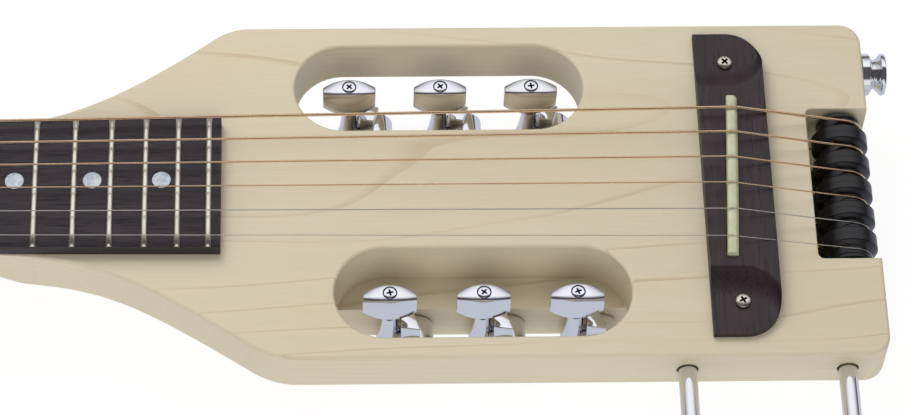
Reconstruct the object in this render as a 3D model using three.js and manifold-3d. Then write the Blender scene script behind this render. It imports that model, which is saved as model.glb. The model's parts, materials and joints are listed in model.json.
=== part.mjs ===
// A short travel guitar: neck and body are one maple blank, the tuners sit in two slots through the body,
// and the strings run over pulleys at the tail and back under the top to their posts.
// Millimetres. X runs from the head to the tail, Y to the bass side, Z out of the front.
// The origin is on the flat back, on the centre line, just ahead of the string channel.
import * as THREE from "three";
import { mergeVertices } from "three/addons/utils/BufferGeometryUtils.js";
import Module from "manifold-3d";

const wasm = await Module();
wasm.setup();

// Clearances
const seat = 0.3; // between pieces that touch on the real instrument
const overrun = 1; // how far a cutting solid runs past the face it opens

// Scale, neck and fingerboard
const scaleLength = 628.65;
const saddleX = 157; // from the origin to the nominal end of the scale
const fretCount = 22;
const octave = 12;
const nutWidth = 43;
const nutThickness = 4.8;
const nutAboveBoard = 1.3;
const boardEndWidth = 52;
const boardPastLastFret = 4.1;
const boardThickness = 6.4;
const boardRadius = 304.8;
const fretWidth = 2.2;
const fretHeight = 1.1;
const fretInset = 0.4; // the crown stops short of the board's edge
const neckDepthAtNut = 14;
const neckDepthAtHeel = 16.5;
const neckEdge = 3; // straight side of the neck below the board
const neckRoundness = 2.2; // exponent of the superellipse on the back of the neck
const slabSquareness = 9; // the same where the neck has become the body
const headLength = 26; // from the back of the nut to the end of the wood
const headWidth = 47;
const headDrop = 2.5; // the head's face lies below the front

// Body
const bodyWidth = 132.4;
const bodyDepth = 41;
const plateThickness = 19.7; // the wings beside the spine
const tailLength = 52.3; // from the scale's end to the tail
const tailCornerRadius = 7.5;
const edgeRound = 1.6;
const spineWidth = 71.6;
const heelFlatX = -49; // head end of the flat back
const heelRise = 20; // length of the heel's curve
const heelCornerRadius = 34; // the heel's nose, seen from behind

// Shoulders: one Bezier from the neck's edge, a straight run into a round corner
const shoulderStart = 121.6; // behind the origin, where the flare leaves the neck
const shoulderLead = 41.5;
const shoulderPull = 55.5;
const shoulderAngle = THREE.MathUtils.degToRad(37.4);
const bassShoulderRadius = 19.5;
const trebleShoulderRadius = 38;
const shoulderFullX = -6; // where the bass side reaches its full width
const trebleSetback = 14.2; // the treble shoulder sits further down the body
const neckBlendLength = 42; // from the shoulder's start to where the body has its full thickness

// Tuner slots
const slotLength = 101.2;
const slotWidth = 35;
const slotCentreY = 41.2;
const bassSlotX = 60.2;
const trebleSlotX = 73.3;
const slotRim = 1.2;
const ledgeDepth = 21.5; // from the front to the shelf on the spine inside a slot

// String channel in the back and notch in the tail
const channelHeadX = 20;
const channelRoof = 17; // under the shelves
const grooveHalfWidth = 20;
const grooveRoof = 25; // between the slots
const rampRoof = 29; // between the slots and the notch
const rampSetback = 3.5; // from a slot's tail end to the higher roof
const channelCorner = 6;
const notchX = 30.6; // from the scale's end
const notchBassY = 30.8; // the notch's walls, from the centre line
const notchTrebleY = 29.1;
const notchCorner = 2.2;
const notchClearance = 0.6;

// Bridge and saddle
const bridgeBack = 7.2; // ahead of the scale's end
const bridgeDepth = 23.2;
const bridgeLength = 120;
const bridgeHeight = 6.3;
const bridgeEndHeight = 2.4;
const bridgeMiddle = 70; // length of the raised middle
const bridgeScoop = 9; // length of the step down
const bridgeCorner = 12;
const bridgeShift = 0.6; // towards the bass side
const bridgeEase = 1; // chamfer along its upper edges
const bridgeScrewX = 3.3;
const bridgeScrewY = 47.7;
const saddleLength = 62.8;
const saddleThickness = 3.8;
const saddleSlotLength = 64.4;
const saddleSlotFloor = 2; // bridge wood left under the pickup
const saddleSkew = THREE.MathUtils.degToRad(3.2);
const saddleCentreX = 2.4;
const saddleTop = 10.4; // above the front, on the centre line
const crestWidth = 0.9;
const pickupThickness = 1.3;

// Strings, from the thin first to the thick sixth: diameter, crest of the saddle from its middle
const strings = [
  { name: "string_1_high_e", diameter: 0.3, crest: -0.9 },
  { name: "string_2_b", diameter: 0.41, crest: 0.9 },
  { name: "string_3_g", diameter: 0.61, crest: -0.9 },
  { name: "string_4_d", diameter: 0.81, crest: -0.4 },
  { name: "string_5_a", diameter: 1.07, crest: 0.2 },
  { name: "string_6_low_e", diameter: 1.35, crest: 0.9 },
];
const stringPitchAtNut = 7.2;
const stringPitchAtTail = 10.2;
const stringSides = 6;
const windingTurns = 2.25;
const windingStepsPerTurn = 12;
const windingGap = 0.55; // between neighbouring turns
const windingStartY = 17.4; // where each string reaches its post, from the centre line
const windingClearance = 0.35;

// Tail pulleys
const pulleyX = 42.5; // from the scale's end
const pulleyBelowFront = 7.5;
const pulleyRadius = 9.7;
const pulleyGrooveRadius = 7.3;
const pulleyFloorWidth = 2.6;
const pulleyWidth = 9.9;
const pulleyRim = 2.45;
const pulleyEase = 0.2;
const endRimRadius = 8.5; // the outer side of the first and the last pulley
const endRimReach = 3.2; // from the middle of their grooves
const axleRadius = 2.5;
const axleSeatDepth = 3.4; // of each end in the wall of the notch

// Tuners
const tunerPitch = 31.75;
const bassTunerX = 60.7; // the middle key of each row
const trebleTunerX = 73.6;
const buttonLength = 18.4;
const buttonThickness = 6.4;
const buttonEndThickness = 2.8;
const buttonCrown = 2.4;
const buttonSide = 11.7; // from the front to the lower corners of its ends
const buttonFoot = 14.4; // from the front to the button's foot
const buttonBoreDepth = 8;
const shaftRadius = 2.2;
const wormCentreZ = 9; // above the flat back
const wormToGear = 8; // between the shaft's axis and the post's
const gearModule = 0.8;
const gearTeeth = 14;
const gearWidth = 3;
const gearTipRadius = 6.15;
const gearRootRadius = 4.45;
const toothTipShare = 0.13;
const toothRootShare = 0.31;
const wormRootRadius = 1.45;
const wormTipRadius = 3.1;
const threadFootWidth = 1.45;
const threadTipWidth = 0.6;
const wormPitchRadius = 2.4;
const wormTurns = 2.5;
const wormStepsPerTurn = 8;
const drumRadius = 7.4;
const housingWidth = 10.4;
const wormTubeRadius = 4.4;
const collarRadius = 3.4;
const collarTipRadius = 3;
const collarTop = 22.6; // above the flat back
const collarFlare = 2; // height of the step from the worm's tube to the collar
const wormTubeTop = 14.6;
const housingFloor = 1.8; // its lowest point above the flat back
const housingWall = 0.9;
const postRadius = 2.9;
const postTipY = 15.4; // how near the posts come to the centre line
const bushRadius = 4;
const bushNutThickness = 2.4;
const bushNutRadius = 6.2;

// Tail end: jack with a strap collar, and the lap rest's sockets
const jackY = 51.2;
const jackBelowFront = 10;
const jackFlangeRadius = 7.4;
const jackWaistRadius = 5.1;
const jackProjection = 8.9;
const jackFlangeThickness = 1.7;
const jackFootThickness = 3.4;
const jackFootRadius = 7.4;
const jackBarrelRadius = 5;
const jackBarrelLength = 24;
const jackBoreRadius = 3.3;
const restRodRadius = 3.175;
const restLegHeadX = -15.6; // from the scale's end
const restLegTailX = 38.7;
const restBelowFront = 10;
const restSocketRadius = 3.75;
const restInsertion = 22;
const restReach = 84; // from the side of the body to the middle of the far bar
const restBend = 20;
const restRingsPerBend = 6;

// Head: comb that holds the ball ends, and the truss rod
const combWidth = 44;
const combPlateLength = 17;
const combPlateThickness = 2;
const combWallThickness = 3;
const combWallHeight = 7;
const ballRadius = 1.9;
const ballLength = 4;
const ballHeight = 4.3; // of the strings in the comb, above the head's face
const combScrewY = 14.4;
const combScrewX = 4.5; // from the head's end of the plate
const rodRadius = 2.6;
const rodDepth = 6.2; // from the front to the rod's axis
const rodStart = 6; // from the end of the head
const rodEndX = -40;
const rodNutRadius = 3.6;
const rodNutLength = 12;
const rodSocketRadius = 2;
const rodSocketDepth = 5;
const screwHeadRadius = 2.65;
const screwHeadHeight = 1.5;
const screwRadius = 1.5;
const screwLength = 15;
const shortScrewLength = 9;

// Colours
const maple = new THREE.MeshStandardMaterial({ color: 0xd9cdaf, roughness: 0.55, metalness: 0 });
const darkWood = new THREE.MeshStandardMaterial({ color: 0x42383e, roughness: 0.6, metalness: 0 });
const bone = new THREE.MeshStandardMaterial({ color: 0xd9dcc8, roughness: 0.45, metalness: 0 });
const chrome = new THREE.MeshStandardMaterial({ color: 0xd6d7da, roughness: 0.12, metalness: 1 });
const steel = new THREE.MeshStandardMaterial({ color: 0xa9a9a6, roughness: 0.3, metalness: 1 });
const bronze = new THREE.MeshStandardMaterial({ color: 0xb98a5c, roughness: 0.35, metalness: 1 });
const blackMetal = new THREE.MeshStandardMaterial({ color: 0x26262a, roughness: 0.5, metalness: 0.4 });
const ceramic = new THREE.MeshStandardMaterial({ color: 0x8a7a4a, roughness: 0.5, metalness: 0.3 });

// Places worked out from the sizes above
const frontZ = bodyDepth;
const nutX = saddleX - scaleLength;
const fretX = (n) => saddleX - scaleLength * Math.pow(2, -n / octave);
const boardEndX = fretX(fretCount) + boardPastLastFret;
const headEndX = nutX - nutThickness - headLength;
const headZ = frontZ - headDrop;
const channelHalfWidth = (stringPitchAtTail * (strings.length - 1) + pulleyWidth) / 2 + notchClearance;
const tailX = saddleX + tailLength;
const halfBody = bodyWidth / 2;
const halfSpine = spineWidth / 2;
const slabZ = frontZ - plateThickness;
const ledgeZ = frontZ - ledgeDepth;
const shoulderX = -shoulderStart;
const slabX = shoulderX + neckBlendLength;
const axleLength = 2 * (channelHalfWidth + axleSeatDepth);
const pulleyAxisX = saddleX + pulleyX;
const pulleyAxisZ = frontZ - pulleyBelowFront;
const wormPitch = Math.PI * gearModule;
const gearRadius = (gearModule * gearTeeth) / 2;
const boardHalfWidth = (x) =>
  THREE.MathUtils.mapLinear(x, nutX, boardEndX, nutWidth, boardEndWidth) / 2;
const boardDrop = (y) => boardRadius - Math.sqrt(boardRadius * boardRadius - y * y);

// Solids: a closed three.js geometry becomes a manifold solid and comes back
function solid(geometry) {
  const bare = geometry.clone();
  bare.deleteAttribute("normal");
  bare.deleteAttribute("uv");
  const merged = mergeVertices(bare, 1e-5);
  const mesh = new wasm.Mesh({
    numProp: 3,
    vertProperties: new Float32Array(merged.attributes.position.array),
    triVerts: new Uint32Array(merged.index.array),
  });
  return new wasm.Manifold(mesh);
}

function geometryOf(shape) {
  const mesh = shape.getMesh();
  const geometry = new THREE.BufferGeometry();
  geometry.setAttribute("position", new THREE.BufferAttribute(mesh.vertProperties, 3));
  geometry.setIndex(new THREE.BufferAttribute(mesh.triVerts, 1));
  const flat = geometry.toNonIndexed();
  flat.computeVertexNormals();
  return flat;
}

const guitar = new THREE.Group();

function addPiece(name, shape, material, parent = guitar) {
  const geometry = shape.isBufferGeometry ? shape : geometryOf(shape);
  const piece = new THREE.Mesh(geometry, material);
  piece.name = name;
  parent.add(piece);
  return piece;
}

// A skin over rings of points, every ring with the same count, closed by a flat cap at each end
function loft(rings) {
  const sides = rings[0].length;
  const positions = rings.flat().flatMap((p) => [p.x, p.y, p.z]);
  const triangles = [];
  for (let r = 0; r + 1 < rings.length; r++) {
    for (let s = 0; s < sides; s++) {
      const a = r * sides + s;
      const b = r * sides + ((s + 1) % sides);
      triangles.push(a, b, b + sides, a, b + sides, a + sides);
    }
  }
  const last = (rings.length - 1) * sides;
  for (let s = 1; s + 1 < sides; s++) {
    triangles.push(0, s + 1, s);
    triangles.push(last, last + s, last + s + 1);
  }
  if (signedVolume(positions, triangles) < 0) triangles.reverse();
  const geometry = new THREE.BufferGeometry();
  geometry.setAttribute("position", new THREE.Float32BufferAttribute(positions, 3));
  geometry.setIndex(triangles);
  return geometry;
}

function signedVolume(positions, triangles) {
  const corner = (i) => new THREE.Vector3().fromArray(positions, 3 * triangles[i]);
  let volume = 0;
  for (let i = 0; i < triangles.length; i += 3) {
    volume += corner(i).dot(corner(i + 1).cross(corner(i + 2)));
  }
  return volume;
}

// A round bar along one axis, from one place on that axis to another
function bar(axis, radius, from, to, sides, endRadius = radius) {
  const geometry = new THREE.CylinderGeometry(endRadius, radius, to - from, sides);
  geometry.translate(0, (from + to) / 2, 0);
  if (axis === "x") geometry.rotateZ(-Math.PI / 2);
  if (axis === "z") geometry.rotateX(Math.PI / 2);
  return geometry;
}

// A turned shape about Z, from [radius, height] pairs that start and end on the axis
function turned(profile, sides) {
  const points = profile.map(([r, h]) => new THREE.Vector2(r, h));
  return new THREE.LatheGeometry(points, sides).rotateX(Math.PI / 2);
}

function block(x0, x1, y0, y1, z0, z1) {
  const geometry = new THREE.BoxGeometry(x1 - x0, y1 - y0, z1 - z0);
  return geometry.translate((x0 + x1) / 2, (y0 + y1) / 2, (z0 + z1) / 2);
}

// Two places on an axis, the lower first
function span(a, b) {
  return [Math.min(a, b), Math.max(a, b)];
}

// A plate with its outline in X and Y, between two heights
function plate(shape, z0, z1, steps = 4) {
  const geometry = new THREE.ExtrudeGeometry(shape, {
    depth: z1 - z0,
    bevelEnabled: false,
    curveSegments: steps,
  });
  return geometry.translate(0, 0, z0);
}

function roundedRectangle(x0, x1, y0, y1, radius) {
  const shape = new THREE.Shape();
  shape.moveTo(x0 + radius, y0);
  shape.lineTo(x1 - radius, y0);
  shape.absarc(x1 - radius, y0 + radius, radius, -Math.PI / 2, 0);
  shape.lineTo(x1, y1 - radius);
  shape.absarc(x1 - radius, y1 - radius, radius, 0, Math.PI / 2);
  shape.lineTo(x0 + radius, y1);
  shape.absarc(x0 + radius, y1 - radius, radius, Math.PI / 2, Math.PI);
  shape.lineTo(x0, y0 + radius);
  shape.absarc(x0 + radius, y0 + radius, radius, Math.PI, (3 * Math.PI) / 2);
  return shape;
}

// Points along a level arc, both ends included
function arc(x, y, z, radius, from, to, steps) {
  return Array.from({ length: steps + 1 }, (_, i) => {
    const angle = THREE.MathUtils.lerp(from, to, i / steps);
    return new THREE.Vector3(x + radius * Math.cos(angle), y + radius * Math.sin(angle), z);
  });
}

// A round tube through points; across is a direction that the route never runs along
function tube(points, radius, sides, across) {
  const rings = points.map((p, i) => {
    const before = points[Math.max(i - 1, 0)];
    const after = points[Math.min(i + 1, points.length - 1)];
    const into = p.clone().sub(before).normalize();
    const out = after.clone().sub(p).normalize();
    const along = into.add(out).normalize();
    const u = across.clone().addScaledVector(along, -across.dot(along)).normalize();
    const v = along.clone().cross(u);
    return Array.from({ length: sides }, (_, s) => {
      const angle = (2 * Math.PI * s) / sides;
      const place = p.clone().addScaledVector(u, radius * Math.cos(angle));
      return place.addScaledVector(v, radius * Math.sin(angle));
    });
  });
  return loft(rings);
}

// The shoulder's outline. The treble one is moved down the body and has a rounder corner.
const neckSlope = (boardEndWidth - nutWidth) / 2 / (boardEndX - nutX);
const shoulderFoot = new THREE.Vector2(shoulderX, boardHalfWidth(shoulderX));
const flareSteps = 12;
const cornerSteps = 5;

function shoulderPoints(setback) {
  const radius = setback > 0 ? trebleShoulderRadius : bassShoulderRadius;
  const cornerPoint = (angle) =>
    new THREE.Vector2(shoulderFullX - radius * Math.sin(angle), halfBody - radius * (1 - Math.cos(angle)));
  const shoulderTop = cornerPoint(shoulderAngle);
  const flare = new THREE.CubicBezierCurve(
    shoulderFoot,
    new THREE.Vector2(shoulderFoot.x + shoulderLead, shoulderFoot.y + shoulderLead * neckSlope),
    new THREE.Vector2(
      shoulderTop.x - shoulderPull * Math.cos(shoulderAngle),
      shoulderTop.y - shoulderPull * Math.sin(shoulderAngle),
    ),
    shoulderTop,
  );
  const points = flare.getPoints(flareSteps);
  for (let i = 1; i <= cornerSteps; i++) points.push(cornerPoint(shoulderAngle * (1 - i / cornerSteps)));
  return points.map((p) => new THREE.Vector2(p.x + setback, p.y));
}

function halfWidthAt(x, setback) {
  const points = shoulderPoints(setback);
  if (x <= points[0].x) return boardHalfWidth(x);
  const i = points.findIndex((p) => p.x > x);
  const a = points[i - 1];
  const b = points[i];
  return THREE.MathUtils.mapLinear(x, a.x, b.x, a.y, b.y);
}

// One section of the neck: flat top, straight edges, then a superellipse round the back
function neckSection(x, bass, treble, top, depth, roundness, edge, ease) {
  const steps = 7;
  const side = (halfWidth) => {
    const points = [
      new THREE.Vector3(x, halfWidth - ease, top),
      new THREE.Vector3(x, halfWidth - ease * 0.3, top - ease * 0.3),
    ];
    for (let i = 0; i < steps; i++) {
      const angle = (Math.PI / 2) * (i / steps);
      const out = Math.pow(Math.cos(angle), 2 / roundness);
      const down = Math.pow(Math.sin(angle), 2 / roundness);
      points.push(new THREE.Vector3(x, halfWidth * out, top - edge - (depth - edge) * down));
    }
    return points;
  };
  const bottom = new THREE.Vector3(x, 0, top - depth);
  const trebleSide = side(treble).map((p) => new THREE.Vector3(p.x, -p.y, p.z));
  return [...side(bass), bottom, ...trebleSide.reverse()];
}

function neckBlank() {
  const hairEase = edgeRound / 20;
  const blend = (share) => {
    const x = shoulderX + neckBlendLength * share;
    const turn = THREE.MathUtils.smoothstep(share, 0, 1);
    const depth = THREE.MathUtils.lerp(neckDepthAtHeel, plateThickness, turn);
    const roundness = THREE.MathUtils.lerp(neckRoundness, slabSquareness, turn * turn);
    const ease = THREE.MathUtils.lerp(hairEase, edgeRound, turn);
    const bass = halfWidthAt(x, 0);
    const treble = halfWidthAt(x, trebleSetback);
    return neckSection(x, bass, treble, frontZ, depth, roundness, neckEdge, ease);
  };
  const plain = (x, halfWidth, depth) =>
    neckSection(x, halfWidth, halfWidth, frontZ, depth, neckRoundness, neckEdge, hairEase);
  const middleX = (nutX + shoulderX) / 2;
  const headHalf = headWidth / 2;
  return loft([
    plain(headEndX, headHalf, neckDepthAtHeel),
    plain(nutX - nutThickness, headHalf, neckDepthAtHeel),
    plain(nutX + nutThickness, boardHalfWidth(nutX), neckDepthAtNut),
    plain(middleX, boardHalfWidth(middleX), (neckDepthAtNut + neckDepthAtHeel) / 2),
    ...[0, 0.2, 0.4, 0.55, 0.7, 0.85, 1].map(blend),
  ]);
}

// The body's plate from the end of the blend to the tail, with its front and back edges eased
function bodyPlate() {
  const outline = new THREE.Shape();
  const bass = shoulderPoints(0).filter((p) => p.x > slabX);
  const treble = shoulderPoints(trebleSetback).filter((p) => p.x > slabX);
  const r = tailCornerRadius;
  outline.moveTo(slabX, -halfWidthAt(slabX, trebleSetback));
  for (const p of treble) outline.lineTo(p.x, -p.y);
  outline.lineTo(tailX - r, -halfBody);
  outline.absarc(tailX - r, -halfBody + r, r, -Math.PI / 2, 0);
  outline.lineTo(tailX, halfBody - r);
  outline.absarc(tailX - r, halfBody - r, r, 0, Math.PI / 2);
  for (const p of bass.reverse()) outline.lineTo(p.x, p.y);
  outline.lineTo(slabX, halfWidthAt(slabX, 0));
  const geometry = new THREE.ExtrudeGeometry(outline, {
    depth: plateThickness - 2 * edgeRound,
    bevelThickness: edgeRound,
    bevelSize: edgeRound,
    bevelOffset: -edgeRound,
    bevelSegments: 2,
    curveSegments: 6,
  });
  return geometry.translate(0, 0, slabZ + edgeRound);
}

// The deep spine behind the plate, its head end swept forward into the heel
function spine() {
  const rise = slabZ + edgeRound;
  const r = heelCornerRadius;
  const ring = (z, inset) => {
    const lift = THREE.MathUtils.clamp(z / rise, 0, 1);
    const head = heelFlatX - heelRise * (1 - Math.sqrt(1 - lift * lift)) + inset;
    const half = halfSpine - inset;
    return [
      new THREE.Vector3(tailX - inset, -half, z),
      new THREE.Vector3(tailX - inset, half, z),
      ...arc(head + r, half - r, z, r, Math.PI / 2, Math.PI, cornerSteps),
      ...arc(head + r, r - half, z, r, Math.PI, (3 * Math.PI) / 2, cornerSteps),
    ];
  };
  const rings = [ring(0, edgeRound), ring(edgeRound * 0.3, edgeRound * 0.3), ring(edgeRound, 0)];
  for (const share of [0.3, 0.55, 0.75, 0.9, 1]) rings.push(ring(rise * share, 0));
  return loft(rings);
}

// A tuner slot, cut from the front down to the shelf, with a rounded front rim
function slotCut(x, side) {
  const radius = slotWidth / 2;
  const straight = slotLength / 2 - radius;
  const arcSteps = 9;
  const ring = (z, grow) => {
    const points = [];
    for (const end of [1, -1]) {
      for (let i = 0; i <= arcSteps; i++) {
        const angle = Math.PI * (i / arcSteps - 0.5) + (end < 0 ? Math.PI : 0);
        points.push(
          new THREE.Vector3(
            x + end * straight + (radius + grow) * Math.cos(angle),
            side * slotCentreY + (radius + grow) * Math.sin(angle),
            z,
          ),
        );
      }
    }
    return points;
  };
  const grown = (share) => slotRim * (1 - Math.sqrt(1 - (1 - share) * (1 - share)));
  return loft([
    ring(ledgeZ, 0),
    ring(frontZ - slotRim, 0),
    ring(frontZ - slotRim * 0.4, grown(0.4)),
    ring(frontZ, slotRim),
    ring(frontZ + overrun, slotRim),
  ]);
}

// Tuners: each has its string, its row and its place in that row, counted from the tail
const slotX = (side) => (side > 0 ? bassSlotX : trebleSlotX);
const tunerRowX = (side) => (side > 0 ? bassTunerX : trebleTunerX);
const tuners = strings.map((string, index) => {
  const side = index < strings.length / 2 ? -1 : 1;
  const place = side < 0 ? index : strings.length - 1 - index;
  return { number: index + 1, side, string, x: tunerRowX(side) + tunerPitch * (1 - place) };
});
const postX = (tuner) => tuner.x + wormToGear;
const stringY = (index, pitch) => pitch * (index - (strings.length - 1) / 2);

// The string channel in the back at its two depths, and the notch in the tail
function channelCuts() {
  const open = (x0, x1, half, corner, roof) =>
    plate(roundedRectangle(x0, x1, -half, half, corner), -overrun, roof);
  const notchHeadX = saddleX + notchX;
  const notchEnds = [notchHeadX, tailX + notchCorner + overrun, -notchTrebleY, notchBassY];
  return [
    open(channelHeadX, notchHeadX, grooveHalfWidth, channelCorner, grooveRoof),
    open(channelHeadX, notchHeadX, channelHalfWidth, channelCorner, channelRoof),
    plate(roundedRectangle(...notchEnds, notchCorner), -overrun, frontZ + overrun),
  ];
}

const screwHole = (top, depth) => bar("z", screwRadius + seat, top - depth, top + overrun, 8);

// On each side: the ramp up to the notch, the axle's seat that is open to the back, and two screw holes
function sideCuts(side) {
  const rampX = slotX(side) + slotLength / 2 + rampSetback;
  const rampEndX = saddleX + notchX + notchCorner + overrun;
  const rampSides = span(-side * overrun, side * channelHalfWidth);
  const wallY = side > 0 ? notchBassY : notchTrebleY;
  const seatEnds = span(side * (axleLength / 2 + seat), side * (wallY - overrun));
  const gap = axleRadius + seat;
  const bridgeHole = screwHole(frontZ, screwLength - bridgeEndHeight);
  const combHole = screwHole(headZ, shortScrewLength - combPlateThickness);
  return [
    block(rampX, rampEndX, ...rampSides, -overrun, rampRoof),
    bar("y", gap, ...seatEnds, 16).translate(pulleyAxisX, 0, pulleyAxisZ),
    block(pulleyAxisX - gap, pulleyAxisX + gap, ...seatEnds, -overrun, pulleyAxisZ),
    bridgeHole.translate(saddleX + bridgeScrewX, side * bridgeScrewY + bridgeShift, 0),
    combHole.translate(headEndX + seat + combScrewX, side * combScrewY, 0),
  ];
}

// A hole in the spine for each tuner's bush
function bushHole(tuner) {
  const ends = span(tuner.side * (channelHalfWidth - overrun), tuner.side * (halfSpine + overrun));
  return bar("y", bushRadius + seat, ...ends, 12).translate(postX(tuner), 0, wormCentreZ);
}

function restSocket(legX) {
  const socket = bar("y", restSocketRadius, -halfBody - overrun, -halfBody + restInsertion + seat, 16);
  return socket.translate(saddleX + legX, 0, frontZ - restBelowFront);
}

function jackHole() {
  const hole = bar("x", jackBarrelRadius + seat, tailX - jackBarrelLength - seat, tailX + overrun, 16);
  return hole.translate(0, jackY, frontZ - jackBelowFront);
}

// The truss rod's channel under the board, and the round hole for its nut in the end of the head
function rodCuts() {
  const half = rodRadius + seat;
  const axisZ = frontZ - rodDepth;
  const nutEndX = headEndX + rodStart + rodNutLength;
  return [
    block(nutEndX, rodEndX, -half, half, axisZ - half, frontZ + overrun),
    bar("x", rodNutRadius + seat, headEndX - overrun, nutEndX + seat, 14).translate(0, 0, axisZ),
  ];
}

function neckAndBody() {
  const headEnds = [headEndX - overrun, nutX - nutThickness - seat];
  const cutters = [
    block(...headEnds, -headWidth, headWidth, headZ, frontZ + overrun),
    slotCut(bassSlotX, 1),
    slotCut(trebleSlotX, -1),
    ...channelCuts(),
    ...sideCuts(1),
    ...sideCuts(-1),
    ...tuners.map(bushHole),
    ...[restLegHeadX, restLegTailX].map(restSocket),
    jackHole(),
    ...rodCuts(),
  ];
  let wood = solid(neckBlank()).add(solid(bodyPlate())).add(solid(spine()));
  for (const cutter of cutters) wood = wood.subtract(solid(cutter));
  return wood;
}

// Fingerboard: a tapered board with a cylindrical face, its frets pressed in
const boardSteps = 4;
function boardRing(x, halfWidth, low, high) {
  const points = [];
  for (let i = 0; i <= boardSteps; i++) {
    const y = halfWidth * (1 - (2 * i) / boardSteps);
    points.push(new THREE.Vector3(x, y, frontZ + high - boardDrop(y)));
  }
  points.push(new THREE.Vector3(x, -halfWidth, frontZ + low));
  points.push(new THREE.Vector3(x, halfWidth, frontZ + low));
  return points;
}

function fingerboard() {
  let board = solid(
    loft([
      boardRing(nutX + seat, boardHalfWidth(nutX), 0, boardThickness),
      boardRing(boardEndX, boardHalfWidth(boardEndX), 0, boardThickness),
    ]),
  );
  for (let n = 1; n <= fretCount; n++) {
    const x = fretX(n);
    const half = boardHalfWidth(x) - fretInset;
    const root = boardThickness - fretHeight;
    const shoulder = boardThickness + fretHeight * 0.45;
    const crown = boardThickness + fretHeight;
    board = board.add(
      solid(
        loft([
          boardRing(x - fretWidth / 2, half, root, shoulder),
          boardRing(x, half, root, crown),
          boardRing(x + fretWidth / 2, half, root, shoulder),
        ]),
      ),
    );
  }
  return board;
}

// Heights of the strings' centres over the nut and the saddle
const nutTop = boardThickness + nutAboveBoard;
const nutStringZ = (index) => {
  const y = stringY(index, stringPitchAtNut);
  return frontZ + nutTop - boardDrop(y) + strings[index].diameter / 2;
};
const saddleStringZ = (index) => {
  const y = stringY(index, stringPitchAtTail);
  return frontZ + saddleTop - boardDrop(y) + seat + strings[index].diameter / 2;
};
const crestX = (index) => {
  const y = stringY(index, stringPitchAtTail);
  return saddleX + saddleCentreX + y * Math.tan(saddleSkew) + strings[index].crest;
};

function nut() {
  const half = boardHalfWidth(nutX) - fretInset;
  const x0 = nutX - nutThickness;
  let piece = solid(loft([boardRing(x0, half, 0, nutTop), boardRing(nutX, half, 0, nutTop + fretHeight)]));
  strings.forEach((string, index) => {
    const y = stringY(index, stringPitchAtNut);
    const gap = string.diameter / 2 + seat;
    const floor = nutStringZ(index) - gap;
    const tall = floor + string.diameter + overrun + fretHeight;
    piece = piece.subtract(solid(block(x0 - overrun, nutX + overrun, y - gap, y + gap, floor, tall)));
  });
  return piece;
}

// Bridge: square along its head side, rounded corners at the tail side, lower ends
function bridge() {
  const x0 = saddleX - bridgeBack;
  const half = bridgeLength / 2;
  const rings = [];
  const section = (y) => {
    const fromEnd = half - Math.abs(y);
    const into = Math.max(bridgeCorner - fromEnd, 0);
    const x1 = x0 + bridgeDepth - bridgeCorner + Math.sqrt(bridgeCorner * bridgeCorner - into * into);
    const past = THREE.MathUtils.clamp((Math.abs(y) - bridgeMiddle / 2) / bridgeScoop, 0, 1);
    const scoop = Math.sqrt(1 - (1 - past) * (1 - past));
    const height = THREE.MathUtils.lerp(bridgeHeight, bridgeEndHeight, scoop);
    const ease = bridgeEase;
    return [
      new THREE.Vector3(x0, y, frontZ),
      new THREE.Vector3(x0, y, frontZ + height - ease),
      new THREE.Vector3(x0 + ease, y, frontZ + height),
      new THREE.Vector3(x1 - ease, y, frontZ + height),
      new THREE.Vector3(x1, y, frontZ + height - ease),
      new THREE.Vector3(x1, y, frontZ),
    ];
  };
  const cornerShares = [0, 0.1, 0.3, 0.6, 1];
  const scoopShares = [1, 0.6, 0.3, 0.1, 0];
  const stations = [
    ...cornerShares.map((share) => half - bridgeCorner * share),
    ...scoopShares.map((share) => bridgeMiddle / 2 + bridgeScoop * share),
  ];
  for (const y of stations) rings.push(section(-y));
  for (const y of stations.reverse()) rings.push(section(y));
  let piece = solid(loft(rings));
  const slotHalf = saddleThickness / 2 + seat;
  const slot = block(
    -slotHalf,
    slotHalf,
    -saddleSlotLength / 2,
    saddleSlotLength / 2,
    saddleSlotFloor,
    bridgeHeight + overrun,
  );
  slot.rotateZ(-saddleSkew).translate(saddleX + saddleCentreX, 0, frontZ);
  piece = piece.subtract(solid(slot));
  for (const side of [1, -1]) {
    const hole = bar("z", screwRadius + seat, frontZ - overrun, frontZ + bridgeHeight + overrun, 8);
    hole.translate(saddleX + bridgeScrewX, side * bridgeScrewY, 0);
    piece = piece.subtract(solid(hole));
  }
  return piece;
}

// Saddle: a bar whose crest steps back and forth under the strings
function saddle() {
  const rings = [];
  const half = saddleThickness / 2;
  const foot = saddleSlotFloor + pickupThickness + 2 * seat;
  const ends = saddleLength / 2;
  const section = (y, crest) => {
    const top = saddleTop - boardDrop(y);
    const shoulder = bridgeHeight + seat;
    return [
      new THREE.Vector3(-half, y, foot),
      new THREE.Vector3(half, y, foot),
      new THREE.Vector3(half, y, shoulder),
      new THREE.Vector3(crest + crestWidth / 2, y, top),
      new THREE.Vector3(crest - crestWidth / 2, y, top),
      new THREE.Vector3(-half, y, shoulder),
    ];
  };
  const step = stringPitchAtTail / 2 - crestWidth;
  strings.forEach((string, index) => {
    const y = stringY(index, stringPitchAtTail);
    const first = index === 0 ? -ends : y - step;
    const last = index === strings.length - 1 ? ends : y + step;
    rings.push(section(first, string.crest), section(last, string.crest));
  });
  return loft(rings).rotateZ(-saddleSkew).translate(saddleX + saddleCentreX, 0, frontZ);
}

function pickup() {
  const half = saddleThickness / 2;
  const ends = saddleLength / 2;
  const low = saddleSlotFloor + seat;
  const strip = block(-half, half, -ends, ends, low, low + pickupThickness);
  return strip.rotateZ(-saddleSkew).translate(saddleX + saddleCentreX, 0, frontZ);
}

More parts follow.
